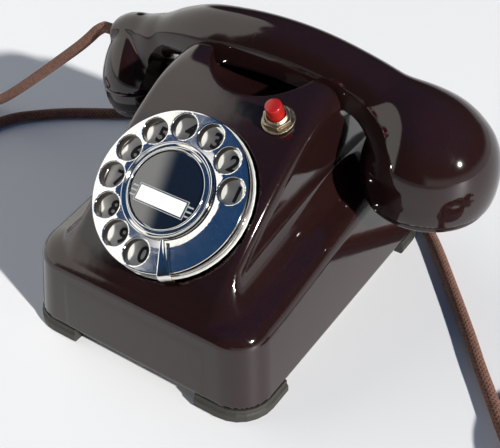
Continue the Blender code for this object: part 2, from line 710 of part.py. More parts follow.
def cord(name, points, lead, step=15.0):
    """A round cord along a smooth route."""
    data = bpy.data.curves.new(name, "CURVE")
    data.dimensions = "3D"
    data.bevel_depth = CORD_RADIUS * MM
    data.bevel_resolution = 2
    data.use_fill_caps = True
    data.resolution_u = 1
    spline = data.splines.new("POLY")
    places = smooth_path(points, step, lead)
    spline.points.add(len(places) - 1)
    for point, place in zip(spline.points, places):
        point.co = (*(place * MM), 1.0)
    made = bpy.data.objects.new(name, data)
    data.materials.append(material(name + "_finish", *CLOTH))
    bpy.context.scene.collection.objects.link(made)
    return made


def coil(name, centre, height):
    """The outer shape of a round coil of cord lying on the table."""
    inner, outer = COIL_RADIUS - 2 * CORD_RADIUS, COIL_RADIUS + 2 * CORD_RADIUS
    profile = [(inner, 1.5), (inner + 1.5, 0.1), (outer - 1.5, 0.1), (outer, 1.5)]
    profile += [(outer, height - 1.5), (outer - 1.5, height), (inner + 1.5, height), (inner, height - 1.5)]
    return finish(name, turned(profile, 36, ring=True, centre=(*centre, 0)), CLOTH)


# Routes in the part's own frame, each from its exit to the turns of its coil.
LINE_ROUTE = [
    (12.0, 97.4, 18.5), (12.0, 101.5, 18.3), (13.2, 107.5, 15.2), (17.4, 113.4, 9.6),
    (26.0, 116.8, 4.6), (39.5, 112.0, 3.4), (52.4, 99.4, 3.4), (64.6, 88.6, 3.4),
    (75.4, 77.8, 3.4), (85.2, 66.6, 3.4), (100.0, 48.4, 3.4),
    (112.2, 33.3, 3.4), (124.6, 17.5, 3.4), (136.6, 1.6, 3.4), (147.6, -12.0, 3.4), (158.4, -25.8, 3.4),
    (167.6, -36.8, 3.4), (176.8, -47.6, 3.4), (185.3, -58.4, 3.4), (194.6, -66.8, 3.4),
]
HANDSET_ROUTE = [
    (-117.0, 38.0, 96.0), (-119.6, 38.0, 95.9), (-125.8, 38.0, 91.8), (-133.0, 38.0, 84.8), (-143.0, 38.0, 75.8),
    (-159.0, 38.0, 62.4), (-178.0, 38.0, 46.6), (-199.0, 38.0, 29.6), (-218.0, 38.0, 15.4), (-236.0, 38.0, 5.6),
    (-250.0, 38.4, 3.4), (-264.0, 38.4, 3.4),
]
RETURN_ROUTE = [
    (-25.0, 97.4, 18.5), (-25.0, 101.5, 18.3), (-26.4, 109.0, 14.8), (-32.0, 117.4, 8.8),
    (-43.0, 124.0, 4.2), (-60.0, 125.0, 3.4),
    (-85.0, 119.5, 3.4), (-112.0, 107.5, 3.4), (-138.0, 92.0, 3.4), (-161.6, 76.7, 3.4), (-175.0, 68.4, 3.4),
    (-188.3, 58.9, 3.4), (-201.0, 47.4, 3.4), (-209.5, 37.7, 3.4), (-215.6, 24.0, 3.4), (-217.6, 8.0, 3.4),
    (-217.6, -8.0, 3.4),
]
LINE_COIL = (221.0, -28.5)
HANDSET_COIL = (-264.0, -8.0)


def make_cords(frame):
    """The line cord with its plug, and the handset cord, their spare length in coils."""
    for (x, y), name in ((LINE_GLAND, "line_cord_gland"), (HANDSET_GLAND, "handset_cord_gland")):
        sleeve = rod(5.9, (x, y - 6.0, GLAND_Z), (x, y + 6.0, GLAND_Z), 20)
        finish(name, sleeve, RUBBER, frame)
    cord("line_cord", LINE_ROUTE, (0, -14, 0))
    coil("line_cord_coil", LINE_COIL, 19.4)
    cord("handset_cord", HANDSET_ROUTE, (15, 0, 0))
    cord("handset_cord_return", RETURN_ROUTE, (0, -14, 0))
    coil("handset_cord_coil", HANDSET_COIL, 13.0)
    x, y = LINE_COIL
    plug_x, plug_y, plug_z = x + COIL_RADIUS + 3 * CORD_RADIUS + 0.7, y + PLUG_AHEAD, PLUG_HEIGHT
    shape = [(0, 0.0), (11.0, 0.0), (13.0, 3.0), (13.0, 24.0), (10.5, 31.0), (5.5, 35.0), (4.2, 37.0)]
    plug = turned([*shape, (4.2, 50.0), (0, 50.0)], 24)
    bmesh.ops.rotate(plug, cent=(0, 0, 0), matrix=Matrix.Rotation(math.radians(90), 3, "X"), verts=plug.verts)
    bmesh.ops.translate(plug, vec=(plug_x, plug_y, plug_z), verts=plug.verts)
    plug = finish("line_plug", plug, BAKELITE)
    for side in (-1, 1):
        pin_x = plug_x + side * PIN_SPACING / 2
        add(plug, rod(2.0, (pin_x, plug_y - 5.0, plug_z), (pin_x, plug_y + 16.0, plug_z), 12))


# ---------------------------------------------------------------- assembly


def main():
    for old in list(bpy.data.objects):
        bpy.data.objects.remove(old)
    frame = empty("base_frame", (BODY_X, 0, 0))
    dial = empty("dial_plane", (0, DIAL_Y, DIAL_Z), frame, DIAL_TILT)
    turning = empty("dial_axis", (0, 0, 0), dial)
    pinion = empty("impulse_axis", (20.0, 0, 0), dial)
    face = (*BUTTON, face_height(BUTTON[1]))
    button = empty("button_frame", face, dial, -face_slope(BUTTON[1]))
    press = empty("button_axis", (0, 0, 0), button)
    lift = empty("handset_lift", (0, 0, 0), frame)
    mouth = empty("mouthpiece_axis", (MOUTHPIECE[0], CRADLE_Y, MOUTHPIECE[1]), lift, lean=MOUTHPIECE_LEAN)
    plungers = empty("plunger_slide", (0, 0, 0), frame)
    lever = empty("lever_axis", (0, 0, 0), frame)
    armature = empty("armature_axis", (0, 0, 0), frame)
    bpy.context.view_layer.update()
    make_body(frame, dial, button)
    make_base(frame)
    make_dial(dial, turning, pinion)
    make_button(button, press)
    make_switch(frame, plungers, lever)
    make_bell(frame, armature)
    make_electrics(frame)
    make_handset(lift, mouth)
    make_cords(frame)


main()
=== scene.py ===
"""Looks for a Bakelite desk telephone: moulded shells, chrome dial, red button, rubber feet, cloth cords.

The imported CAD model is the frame. Lengths here are millimetres in the telephone's own frame, whose
origin lies SHIFT from the row's, unless a name or a comment says otherwise.
"""

import json
import math

import bmesh
import bpy
import numpy as np
from mathutils import Matrix, Vector

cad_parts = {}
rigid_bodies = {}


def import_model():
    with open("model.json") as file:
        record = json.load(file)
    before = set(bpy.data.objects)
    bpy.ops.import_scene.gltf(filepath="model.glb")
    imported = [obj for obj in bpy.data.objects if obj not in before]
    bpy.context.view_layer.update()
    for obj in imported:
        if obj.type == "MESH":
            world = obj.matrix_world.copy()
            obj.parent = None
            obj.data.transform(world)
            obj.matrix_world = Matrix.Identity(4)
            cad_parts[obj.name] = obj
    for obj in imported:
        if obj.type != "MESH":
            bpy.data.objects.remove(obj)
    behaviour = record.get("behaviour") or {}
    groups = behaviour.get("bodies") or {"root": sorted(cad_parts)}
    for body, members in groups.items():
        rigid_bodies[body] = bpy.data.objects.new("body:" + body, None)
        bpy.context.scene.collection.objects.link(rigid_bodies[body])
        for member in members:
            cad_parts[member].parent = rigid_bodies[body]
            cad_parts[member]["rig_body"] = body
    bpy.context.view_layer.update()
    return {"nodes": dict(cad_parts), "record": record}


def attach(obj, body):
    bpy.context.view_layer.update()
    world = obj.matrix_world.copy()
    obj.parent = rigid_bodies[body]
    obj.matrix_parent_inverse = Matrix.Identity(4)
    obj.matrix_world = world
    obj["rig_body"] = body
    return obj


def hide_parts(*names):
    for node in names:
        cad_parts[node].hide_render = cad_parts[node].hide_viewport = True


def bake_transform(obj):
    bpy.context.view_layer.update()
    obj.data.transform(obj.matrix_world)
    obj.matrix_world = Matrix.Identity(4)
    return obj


MM = 0.001
SHIFT = Vector((-3.5, 0.0, 0.0))

# The camera stands where the photographer stood; lengths in the row's frame.
CAMERA_PLACE = (217.2, -320.0, 347.8)
CAMERA_TARGET = (-4.9, 13.1, 21.5)
CAMERA_LENS = 68.4

# Light
SUN_AZIMUTH, SUN_ELEVATION = -15.0, 28.0
SUN_STRENGTH, SUN_ANGLE = 5.7, 2.0
# The white card on the left, in degrees. Its ends are counted from -X towards -Y, and lean with height.
CARD_TOP, CARD_CROWN = 61.5, 0.0088
CARD_LEFT, CARD_LEFT_LEAN = -50.0, 0.4
CARD_RIGHT, CARD_RIGHT_LEAN, CARD_RIGHT_STRAIGHT = 54.5, 0.0095, 15.0
CARD = (1.38, 1.36, 1.30, 1)
HEDGE = (0.015, 0.024, 0.027, 1)
SKY = (0.014, 0.050, 0.135, 1)
HORIZON = (0.55, 0.56, 0.58, 1)
HORIZON_GAP = -100.0  # azimuth of its dark part

# Body
BASE_HALF_WIDTH, BASE_HALF_DEPTH, BASE_CORNER = 68.0, 91.0, 18.0
SKIRT_BOTTOM = 8.0
SKIRT_TAPER = 0.0805
LEDGE_HEIGHT, LEDGE_SLOPE, LEDGE_RISE = 46.3, 0.45, 12.0
NECK_HALF_WIDTH, NECK_TOP, NECK_ROUND = 45.0, 120.8, 14.0
WALL, CAVITY_TOP = 3.5, 96.0
BOWL_HALF_WIDTH, BOWL_HALF_DEPTH, BOWL_Y = 29.0, 26.2, 27.0
BOWL_TOP, BOWL_DEPTH = 116.0, 14.5
CRADLE_Y, TROUGH_TOP, TROUGH_DEPTH, TROUGH_HALF_WIDTH = 38.0, 116.5, 15.0, 15.6
PLUNGER_X, PLUNGER_HOLE = 30.0, 3.5
LINE_GLAND, HANDSET_GLAND, GLAND_Z, GLAND_HOLE = 15.5, -21.5, 18.5, 6.3

# Dial
DIAL_TILT = math.radians(39.2)
DIAL_CENTRE = (0.0, -56.0, 88.5)
HOLE_CIRCLE, HOLE_RADIUS = 31.0, 6.3
HOLE_ANGLES = [math.radians(20.2 + 27.6 * i) for i in range(10)]
WHEEL_RADIUS = 39.0
DIAL_OPENING = 39.7
PLATE_DEPTH, CARD_MIDDLE = 7.0, -5.6
BUTTON_PLACE, BUTTON_HOLE = (28.0, 51.0), 5.9
OPENING_BACK = -34.0  # where both openings end

# Handset
ARCH_TOP, ARCH_DROOP = 133.5, 18.0
RECEIVER_X, RECEIVER_Z, RECEIVER_RADIUS, RECEIVER_HALF_HEIGHT = 86.0, 79.0, 33.5, 34.5
MOUTH_X, MOUTH_Z, MOUTH_LEAN = -87.3, 56.0, math.radians(-9)
MOUTH_RADIUS, MOUTH_STRAIGHT, MOUTH_DOME = 23.2, 18.5, 33.0
NOSE_X, NOSE_Z, NOSE_BORE = -108.5, 96.0, 3.5

# Cords, in the row's frame
CORD_RADIUS = 3.2
STRANDS = 8.0
COIL_MIDDLE, COIL_PITCH = 36.0, 6.4


# ---- camera, floor and light


def linked(name, data):
    """A new object in the scene."""
    made = bpy.data.objects.new(name, data)
    bpy.context.scene.collection.objects.link(made)
    return made


def make_camera():
    """The photograph's view."""
    data = bpy.data.cameras.new("camera")
    data.lens = CAMERA_LENS
    data.sensor_width = 36.0
    camera = linked("camera", data)
    camera.location = Vector(CAMERA_PLACE) * MM
    towards = Vector(CAMERA_TARGET) - Vector(CAMERA_PLACE)
    camera.rotation_euler = towards.to_track_quat("-Z", "Y").to_euler()
    bpy.context.scene.camera = camera
    bpy.context.scene.view_settings.view_transform = "Standard"


def direction(azimuth, elevation):
    """Unit vector from azimuth (from +X towards +Y) and elevation, in degrees."""
    a, e = math.radians(azimuth), math.radians(elevation)
    return Vector((math.cos(e) * math.cos(a), math.cos(e) * math.sin(a), math.sin(e)))


def make_sun():
    """The key light from the right."""
    data = bpy.data.lights.new("key", "SUN")
    data.energy = SUN_STRENGTH
    data.angle = math.radians(SUN_ANGLE)
    data.color = (1.0, 0.985, 0.96)
    lamp = linked("key", data)
    lamp.rotation_euler = direction(SUN_AZIMUTH, SUN_ELEVATION).to_track_quat("Z", "Y").to_euler()


def make_world():
    """A dim blue room with a pale horizon and one large white card on the left."""
    world = bpy.data.worlds.new("studio")
    world.use_nodes = True
    bpy.context.scene.world = world
    graph = Graph(world.node_tree)
    background = world.node_tree.nodes["Background"]
    looking = graph.add("ShaderNodeTexCoord").outputs["Generated"]
    across, ahead, height = graph.split(looking)
    rise = graph.degrees("ARCSINE", height)
    turn = graph.degrees("ARCTAN2", graph.times(ahead, -1.0), graph.times(across, -1.0))
    roof = graph.minus(CARD_TOP, graph.times(graph.maths("POWER", turn, 2.0), CARD_CROWN))
    high = graph.maths("MAXIMUM", graph.minus(rise, CARD_RIGHT_STRAIGHT), 0.0)
    right = graph.minus(CARD_RIGHT, graph.times(graph.maths("POWER", high, 2.0), CARD_RIGHT_LEAN))
    left = graph.plus(CARD_LEFT, graph.times(rise, CARD_LEFT_LEAN))
    card = graph.smooth(graph.minus(roof, rise), -0.5, 1.2)
    card = graph.times(card, graph.smooth(graph.minus(right, turn), -0.5, 1.2))
    card = graph.times(card, graph.smooth(graph.minus(turn, left), -1.0, 3.0))
    front = direction(HORIZON_GAP, 0)
    facing = graph.maths("MULTIPLY_ADD", across, front.x, graph.times(ahead, front.y))
    horizon = graph.times(graph.smooth(rise, 15.0, 5.0), graph.smooth(facing, 0.93, 0.83))
    sky = graph.mix(graph.smooth(rise, 20.0, 50.0), HEDGE, SKY)
    sky = graph.mix(horizon, sky, HORIZON)
    sky = graph.mix(card, sky, CARD)
    graph.feed(background.inputs["Color"], sky)
    background.inputs["Strength"].default_value = 1.0


def make_floor():
    """A plain pale table top, with painted shade that darkens it far in front."""
    side = 6.0
    data = bpy.data.meshes.new("table_top")
    corners = [(-side, -side, 0), (side, -side, 0), (side, side, 0), (-side, side, 0)]
    data.from_pydata(corners, [], [(0, 1, 2, 3)])
    table = linked("table_top", data)
    finish = Finish("table_paper", (0.8, 0.8, 0.8), 0.55)
    shade = finish.noise(3.0, 2)
    pale = finish.mix(shade, (0.80, 0.80, 0.805, 1), (0.84, 0.84, 0.84, 1))
    ahead = finish.split(finish.coords)[1]
    # Painted shade: the table darkens far in front of the telephone.
    finish.colour(finish.mix(finish.smooth(ahead, -0.5, -1.1), pale, (0.26, 0.27, 0.27, 1)))
    data.materials.append(finish.material)


# ---- node graphs and finishes


class Graph:
    """Short calls for building a node tree. Values are sockets or plain values."""

    def __init__(self, tree):
        self.tree = tree

    def add(self, kind, inputs=(), **settings):
        """A node with its settings. inputs gives its inputs' values, by their names or numbers."""
        node = self.tree.nodes.new(kind)
        for name, value in settings.items():
            setattr(node, name, value)
        for name, value in dict(inputs).items():
            self.feed(node.inputs[name], value)
        return node

    def feed(self, target, value):
        """Puts a value into a node's input."""
        if isinstance(value, bpy.types.NodeSocket):
            self.tree.links.new(value, target)
        else:
            target.default_value = value

    def maths(self, operation, first, second=0.0, third=0.0):
        return self.add("ShaderNodeMath", {0: first, 1: second, 2: third}, operation=operation).outputs[0]

    def plus(self, first, second):
        return self.maths("ADD", first, second)

    def minus(self, first, second):
        return self.maths("SUBTRACT", first, second)

    def times(self, first, second):
        return self.maths("MULTIPLY", first, second)

    def degrees(self, operation, first, second=0.0):
        """An inverse trigonometric function, in degrees."""
        return self.maths("DEGREES", self.maths(operation, first, second))

    def split(self, vector):
        return self.add("ShaderNodeSeparateXYZ", {0: vector}).outputs

    def smooth(self, value, start, end):
        """0 at start and 1 at end, smoothly."""
        span = {"Value": value, "From Min": min(start, end), "From Max": max(start, end),
                "To Min": float(start > end), "To Max": float(start <= end)}
        return self.add("ShaderNodeMapRange", span, interpolation_type="SMOOTHSTEP").outputs["Result"]

    def mix(self, factor, first, second):
        """One colour turning into another as the factor goes from 0 to 1."""
        return self.add("ShaderNodeMix", {0: factor, 6: first, 7: second}, data_type="RGBA").outputs[2]


class Finish(Graph):
    """A procedural surface around one Principled shader. Texture scales are in cycles per metre."""

    def __init__(self, name, colour, roughness, metallic=0.0, ior=1.5):
        self.material = bpy.data.materials.new(name)
        self.material.use_nodes = True
        super().__init__(self.material.node_tree)
        self.shader = self.tree.nodes["Principled BSDF"]
        self.material.diffuse_color = (*colour, 1.0)
        self.set("Base Color", (*colour, 1.0))
        self.set("Roughness", roughness)
        self.set("Metallic", metallic)
        self.set("IOR", ior)
        self.coords = self.add("ShaderNodeTexCoord").outputs["Object"]

    def set(self, name, value):
        self.feed(self.shader.inputs[name], value)

    def noise(self, scale, detail=3.0, roughness=0.5, stretch=None):
        place = self.coords
        if stretch:
            place = self.add("ShaderNodeVectorMath", {0: place, 1: stretch}, operation="MULTIPLY").outputs[0]
        grain = {"Vector": place, "Scale": scale, "Detail": detail, "Roughness": roughness}
        return self.add("ShaderNodeTexNoise", grain).outputs["Fac"]

    def scratches(self, scale):
        """Thin hairlines, as a factor that is 1 on a line."""
        wobble = self.add("ShaderNodeTexNoise", {"Vector": self.coords, "Scale": scale * 0.7}).outputs["Color"]
        small = self.add("ShaderNodeVectorMath", {0: wobble, "Scale": 0.6 / scale}, operation="SCALE").outputs[0]
        bent = self.add("ShaderNodeVectorMath", {0: self.coords, 1: small}, operation="ADD").outputs[0]
        cells = self.add("ShaderNodeTexVoronoi", {"Vector": bent, "Scale": scale}, feature="DISTANCE_TO_EDGE")
        return self.smooth(cells.outputs["Distance"], 0.012, 0.004)

    def colour(self, value):
        self.set("Base Color", value)

    def roughness(self, factor, low, high):
        node = self.add("ShaderNodeMapRange", {"Value": factor, "To Min": low, "To Max": high})
        self.set("Roughness", node.outputs["Result"])

    def bump(self, height, distance):
        """Relief of so many metres."""
        node = self.add("ShaderNodeBump", {"Height": height, "Distance": distance, "Strength": 1.0})
        self.set("Normal", node.outputs["Normal"])


def bakelite():
    """Oxblood phenolic, polished, with faint mottling, handling marks and hairlines."""
    finish = Finish("bakelite_polished", (0.014, 0.0052, 0.005), 0.07, ior=1.55)
    cloud = finish.noise(38.0, 4, 0.6)
    base = finish.mix(cloud, (0.0095, 0.0040, 0.0042, 1), (0.0175, 0.0062, 0.0056, 1))
    flecks = finish.smooth(finish.noise(1400.0, 2), 0.62, 0.72)
    finish.colour(finish.mix(finish.times(flecks, 0.35), base, (0.05, 0.022, 0.018, 1)))
    lines = finish.times(finish.scratches(60.0), 0.5)
    finish.roughness(finish.plus(finish.noise(22.0, 5, 0.65), lines), 0.03, 0.12)
    fine = finish.times(finish.noise(900.0, 2), 0.04)
    finish.bump(finish.plus(finish.noise(55.0, 2), fine), 0.00006)
    return finish.material


def chrome():
    """Bright plating over pressed metal: slight waves, hairlines, dull spots, painted brown shade down its steep
    walls.
    """
    finish = Finish("chrome_plated", (0.84, 0.83, 0.81), 0.05, 1.0)
    spots = finish.smooth(finish.noise(420.0, 5, 0.7), 0.60, 0.78)
    plate = finish.mix(spots, (0.86, 0.85, 0.83, 1), (0.62, 0.56, 0.47, 1))
    normal = finish.add("ShaderNodeNewGeometry").outputs["Normal"]
    axis = (0.0, -math.sin(DIAL_TILT), math.cos(DIAL_TILT))
    facing = finish.add("ShaderNodeVectorMath", {0: normal, 1: axis}, operation="DOT_PRODUCT")
    # Painted shade: walls that stand steep to the dial's face, such as the holes' sides, turn dark brown.
    steep_wall_shade = finish.smooth(finish.maths("ABSOLUTE", facing.outputs["Value"]), 0.62, 0.25)
    finish.colour(finish.mix(finish.times(steep_wall_shade, 0.9), plate, (0.17, 0.125, 0.09, 1)))
    wear = finish.plus(finish.noise(130.0, 4, 0.6), finish.times(finish.scratches(140.0), 0.6))
    finish.roughness(wear, 0.02, 0.12)
    finish.bump(finish.noise(60.0, 2), 0.00003)
    return finish.material


def mottled(name, colour, roughness, cloud, dark, light, shine=None, relief=None, metallic=0.0):
    """A finish whose tone, and roughness if shine gives its range, wander with the noise that cloud describes.
    relief is the bump's own noise, or None for the same one, and its height."""
    finish = Finish(name, colour, roughness, metallic)
    wander = finish.noise(*cloud)
    finish.colour(finish.mix(wander, (*dark, 1), (*light, 1)))
    if shine:
        finish.roughness(wander, *shine)
    if relief:
        grain, depth = relief
        finish.bump(finish.noise(*grain) if grain else wander, depth)
    return finish.material


def plain_finishes():
    """The finishes that one cloud of noise is enough for, by slot or use."""
    rows = (
        ("steel", "steel_turned", (0.5, 0.5, 0.48), 0.35, (260.0, 3, 0.6, (1, 1, 14)),
         (0.40, 0.40, 0.39), (0.58, 0.57, 0.55), (0.25, 0.5), (None, 0.00004), 1.0),
        ("rubber", "rubber_aged", (0.03, 0.03, 0.025), 0.6, (160.0, 5, 0.6),
         (0.012, 0.012, 0.010), (0.040, 0.038, 0.030), (0.45, 0.75), ((1300.0, 3, 0.6), 0.00008)),
        ("enamel", "enamel_satin", (0.62, 0.63, 0.61), 0.4, (240.0, 4, 0.6),
         (0.70, 0.71, 0.68), (0.80, 0.81, 0.78), (0.3, 0.5), ((1800.0, 2), 0.00002)),
        ("paper", "card_paper", (0.86, 0.87, 0.85), 0.6, (1500.0, 4, 0.6),
         (0.81, 0.82, 0.80), (0.91, 0.92, 0.90), None, (None, 0.00002)),
        ("ink", "ink_black", (0.014, 0.014, 0.015), 0.6, (1500.0, 4, 0.6),
         (0.009, 0.009, 0.010), (0.019, 0.019, 0.020), None, (None, 0.00002)),
        ("print", "print_grey", (0.36, 0.37, 0.38), 0.45, (2500.0, 2), (0.30, 0.31, 0.32), (0.44, 0.45, 0.46)),
        ("red_plastic", "plastic_red", (0.45, 0.012, 0.010), 0.22, (300.0, 4, 0.6),
         (0.27, 0.006, 0.006), (0.38, 0.014, 0.011), (0.14, 0.32), ((500.0, 2), 0.00004)),
        ("paxolin", "laminate_brown", (0.25, 0.12, 0.05), 0.4, (90.0, 4, 0.6, (1, 1, 30)),
         (0.17, 0.075, 0.03), (0.30, 0.15, 0.07), None, (None, 0.00003)),
    )
    return {key: mottled(*row) for key, *row in rows}


def worn_nickel():
    """Nickel gone brassy, rough from age."""
    finish = Finish("nickel_brassy", (0.62, 0.52, 0.38), 0.3, 1.0)
    patch = finish.smooth(finish.noise(320.0, 5, 0.65), 0.38, 0.66)
    base = finish.mix(patch, (0.46, 0.40, 0.31, 1), (0.26, 0.19, 0.11, 1))
    grime = finish.smooth(finish.noise(900.0, 3, 0.6), 0.60, 0.72)
    finish.colour(finish.mix(grime, base, (0.10, 0.075, 0.05, 1)))
    finish.roughness(finish.noise(700.0, 3), 0.16, 0.48)
    finish.bump(finish.noise(800.0, 4, 0.7), 0.0004)
    return finish.material


def lacquer():
    """Deep black gloss behind the clear disc."""
    finish = Finish("lacquer_black", (0.006, 0.0075, 0.010), 0.05, ior=2.25)
    dust = finish.smooth(finish.noise(2600.0, 2), 0.66, 0.76)
    finish.colour(finish.mix(dust, (0.006, 0.0075, 0.010, 1), (0.05, 0.05, 0.05, 1)))
    finish.roughness(finish.noise(90.0, 4), 0.0, 0.03)
    return finish.material


def winding():
    finish = Finish("winding_enamelled", (0.42, 0.18, 0.08), 0.35)
    wire = finish.add("ShaderNodeTexWave", {"Vector": finish.coords, "Scale": 700.0}, bands_direction="Z")
    # Painted shade: the grooves between the turns of wire are darkened.
    finish.colour(finish.mix(wire.outputs["Fac"], (0.20, 0.08, 0.035, 1), (0.50, 0.22, 0.10, 1)))
    finish.bump(wire.outputs["Fac"], 0.0001)
    return finish.material


def braid():
    """Brown cotton braid. U runs once round the cord and V along it, in rounds."""
    finish = Finish("cotton_braid", (0.13, 0.065, 0.04), 0.85)
    finish.set("Sheen Weight", 0.06)
    finish.set("Sheen Roughness", 0.5)
    around, along, _ = finish.split(finish.add("ShaderNodeTexCoord").outputs["UV"])
    around = finish.times(around, STRANDS)
    along = finish.times(along, STRANDS)
    rising = finish.maths("FRACT", finish.plus(around, along))
    falling = finish.maths("FRACT", finish.minus(around, along))
    crown_up = finish.maths("SINE", finish.times(rising, math.pi))
    crown_down = finish.maths("SINE", finish.times(falling, math.pi))
    height = finish.maths("MAXIMUM", finish.maths("POWER", crown_up, 0.6), finish.maths("POWER", crown_down, 0.6))
    dark_strand = finish.smooth(finish.noise(500.0, 2), 0.45, 0.62)
    fibre = finish.noise(5200.0, 2)
    base = finish.mix(dark_strand, (0.21, 0.088, 0.055, 1), (0.12, 0.048, 0.030, 1))
    base = finish.mix(finish.times(fibre, 0.5), base, (0.30, 0.15, 0.10, 1))
    # Painted shade: the grooves between the strands are darkened.
    finish.colour(finish.mix(finish.smooth(height, 0.45, 0.95), (0.03, 0.014, 0.010, 1), base))
    finish.bump(finish.plus(height, finish.times(fibre, 0.25)), 0.00045)
    return finish.material


# ---- pieces


def put(name, data, material, body, replaces=(), slot=None):
    """Links a finished mesh as a piece that rides on a body."""
    piece = linked(name, data)
    data.materials.clear()
    data.materials.append(material)
    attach(piece, body)
    if replaces:
        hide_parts(*replaces)
    return piece


def baked(draft):
    """The mesh that a draft object comes out as. The draft goes."""
    bpy.context.view_layer.update()
    data = bpy.data.meshes.new_from_object(draft.evaluated_get(bpy.context.evaluated_depsgraph_get()))
    bpy.data.objects.remove(draft)
    return data


def mesh_from(name, points, faces, matrix=None, normals=None):
    """A mesh from millimetre points in the telephone's frame, or in the matrix's."""
    points = np.asarray(points, float)
    place = Matrix.Translation(SHIFT) @ (matrix or Matrix.Identity(4))
    turn = np.array(place.to_3x3())
    points = (points @ turn.T + np.array(place.translation)) * MM
    data = bpy.data.meshes.new(name)
    data.from_pydata(points.tolist(), [], [list(map(int, f)) for f in faces])
    data.update()
    data.shade_smooth()
    if normals is not None:
        data.normals_split_custom_set_from_vertices((normals @ turn.T).tolist())
    return data


def facing_out(data, sharp):
    """Turns every face outwards, and keeps the edges over so many degrees sharp."""
    fixed = bmesh.new()
    fixed.from_mesh(data)
    bmesh.ops.recalc_face_normals(fixed, faces=fixed.faces)
    fixed.to_mesh(data)
    fixed.free()
    data.shade_smooth()
    data.set_sharp_from_angle(angle=math.radians(sharp))
    return data


def circle(count):
    """Points evenly spaced round a unit circle."""
    return [(math.cos(2 * math.pi * i / count), math.sin(2 * math.pi * i / count)) for i in range(count)]


def band(low, high):
    """The faces between two rings of points. A ring may be one point over and over."""
    faces = [list(dict.fromkeys(face)) for face in zip(low, low[1:] + low[:1], high[1:] + high[:1], high)]
    return [face for face in faces if len(face) > 2]


def turned(name, profile, steps, matrix, sharp):
    """Turns (radius, height) points about the local Z axis."""
    points, rows, faces = [], [], []
    for radius, height in profile:
        if radius < 1e-6:
            rows.append([len(points)] * steps)
            points.append((0.0, 0.0, height))
            continue
        rows.append(list(range(len(points), len(points) + steps)))
        points += [(radius * x, radius * y, height) for x, y in circle(steps)]
    pairs = list(zip(rows, rows[1:]))
    if profile[0][0] > 1e-6:
        pairs.append((rows[-1], rows[0]))
    for low, high in pairs:
        faces += band(low, high)
    return facing_out(mesh_from(name, points, faces, matrix), sharp)


def put_turned(name, profile, steps, matrix, sharp, *rest):
    """Turns a profile and puts it in place."""
    return put(name, turned(name, profile, steps, matrix, sharp), *rest)


def rounded(profile, radius, steps=4):
    """Rounds the corners of a (radius, height) profile."""
    made = [profile[0]]
    for before, corner, after in zip(profile, profile[1:], profile[2:]):
        b, c, a = Vector(before), Vector(corner), Vector(after)
        into, out = b - c, a - c
        reach = min(radius, into.length * 0.45, out.length * 0.45)
        start, end = c + into.normalized() * reach, c + out.normalized() * reach
        for i in range(steps + 1):
            t = i / steps
            point = start * (1 - t) ** 2 + c * 2 * t * (1 - t) + end * t * t
            made.append(tuple(point))
    return made + [profile[-1]]


# ---- shapes from distance fields


def meet(a, b, radius):
    """The overlap of two solids, its edge rounded. Fields are negative inside."""
    outer = np.sqrt(np.maximum(a + radius, 0) ** 2 + np.maximum(b + radius, 0) ** 2)
    return np.minimum(-radius, np.maximum(a, b)) + outer


def join(a, b, radius):
    """Both solids, the corner between them filled to a radius."""
    inner = np.sqrt(np.maximum(radius - a, 0) ** 2 + np.maximum(radius - b, 0) ** 2)
    return np.maximum(radius, np.minimum(a, b)) - inner


def less(a, b, radius):
    """The first solid without the second, the edge rounded."""
    return meet(a, -b, radius)


def oval(across, along, power):
    """1 on a superellipse, from shares of its two half axes."""
    return (across ** power + along ** power) ** (1 / power)


def step_between(value, start, end):
    """0 at start and 1 at end, smoothly."""
    t = np.clip((value - start) / (end - start), 0, 1)
    return t * t * (3 - 2 * t)


def through(x, knots, values):
    """A smooth curve through the knots, by cubics with averaged slopes."""
    knots, values = np.asarray(knots, float), np.asarray(values, float)
    slopes = np.gradient(values, knots)
    x = np.clip(x, knots[0], knots[-1])
    i = np.clip(np.searchsorted(knots, x) - 1, 0, len(knots) - 2)
    width = knots[i + 1] - knots[i]
    t = (x - knots[i]) / width
    return (
        values[i] * (1 + 2 * t) * (1 - t) ** 2
        + values[i + 1] * t * t * (3 - 2 * t)
        + slopes[i] * width * t * (1 - t) ** 2
        - slopes[i + 1] * width * t * t * (1 - t)
    )


def slope_of(field, points, reach=0.04):
    """The field's gradient at each point."""
    slope = np.empty_like(points)
    for axis in range(3):
        shift = np.zeros(3)
        shift[axis] = reach
        slope[:, axis] = (field(points + shift) - field(points - shift)) / (2 * reach)
    return slope


def facing_of(field, points, reach):
    """The surface's unit normals at the points."""
    normals = slope_of(field, points, reach)
    return normals / np.maximum(np.linalg.norm(normals, axis=1)[:, None], 1e-9)


def along_axis(axis):
    """Slices that pair each grid point with the next one along an axis."""
    ahead, behind = [slice(None)] * 3, [slice(None)] * 3
    ahead[axis], behind[axis] = slice(1, None), slice(None, -1)
    return tuple(ahead), tuple(behind)


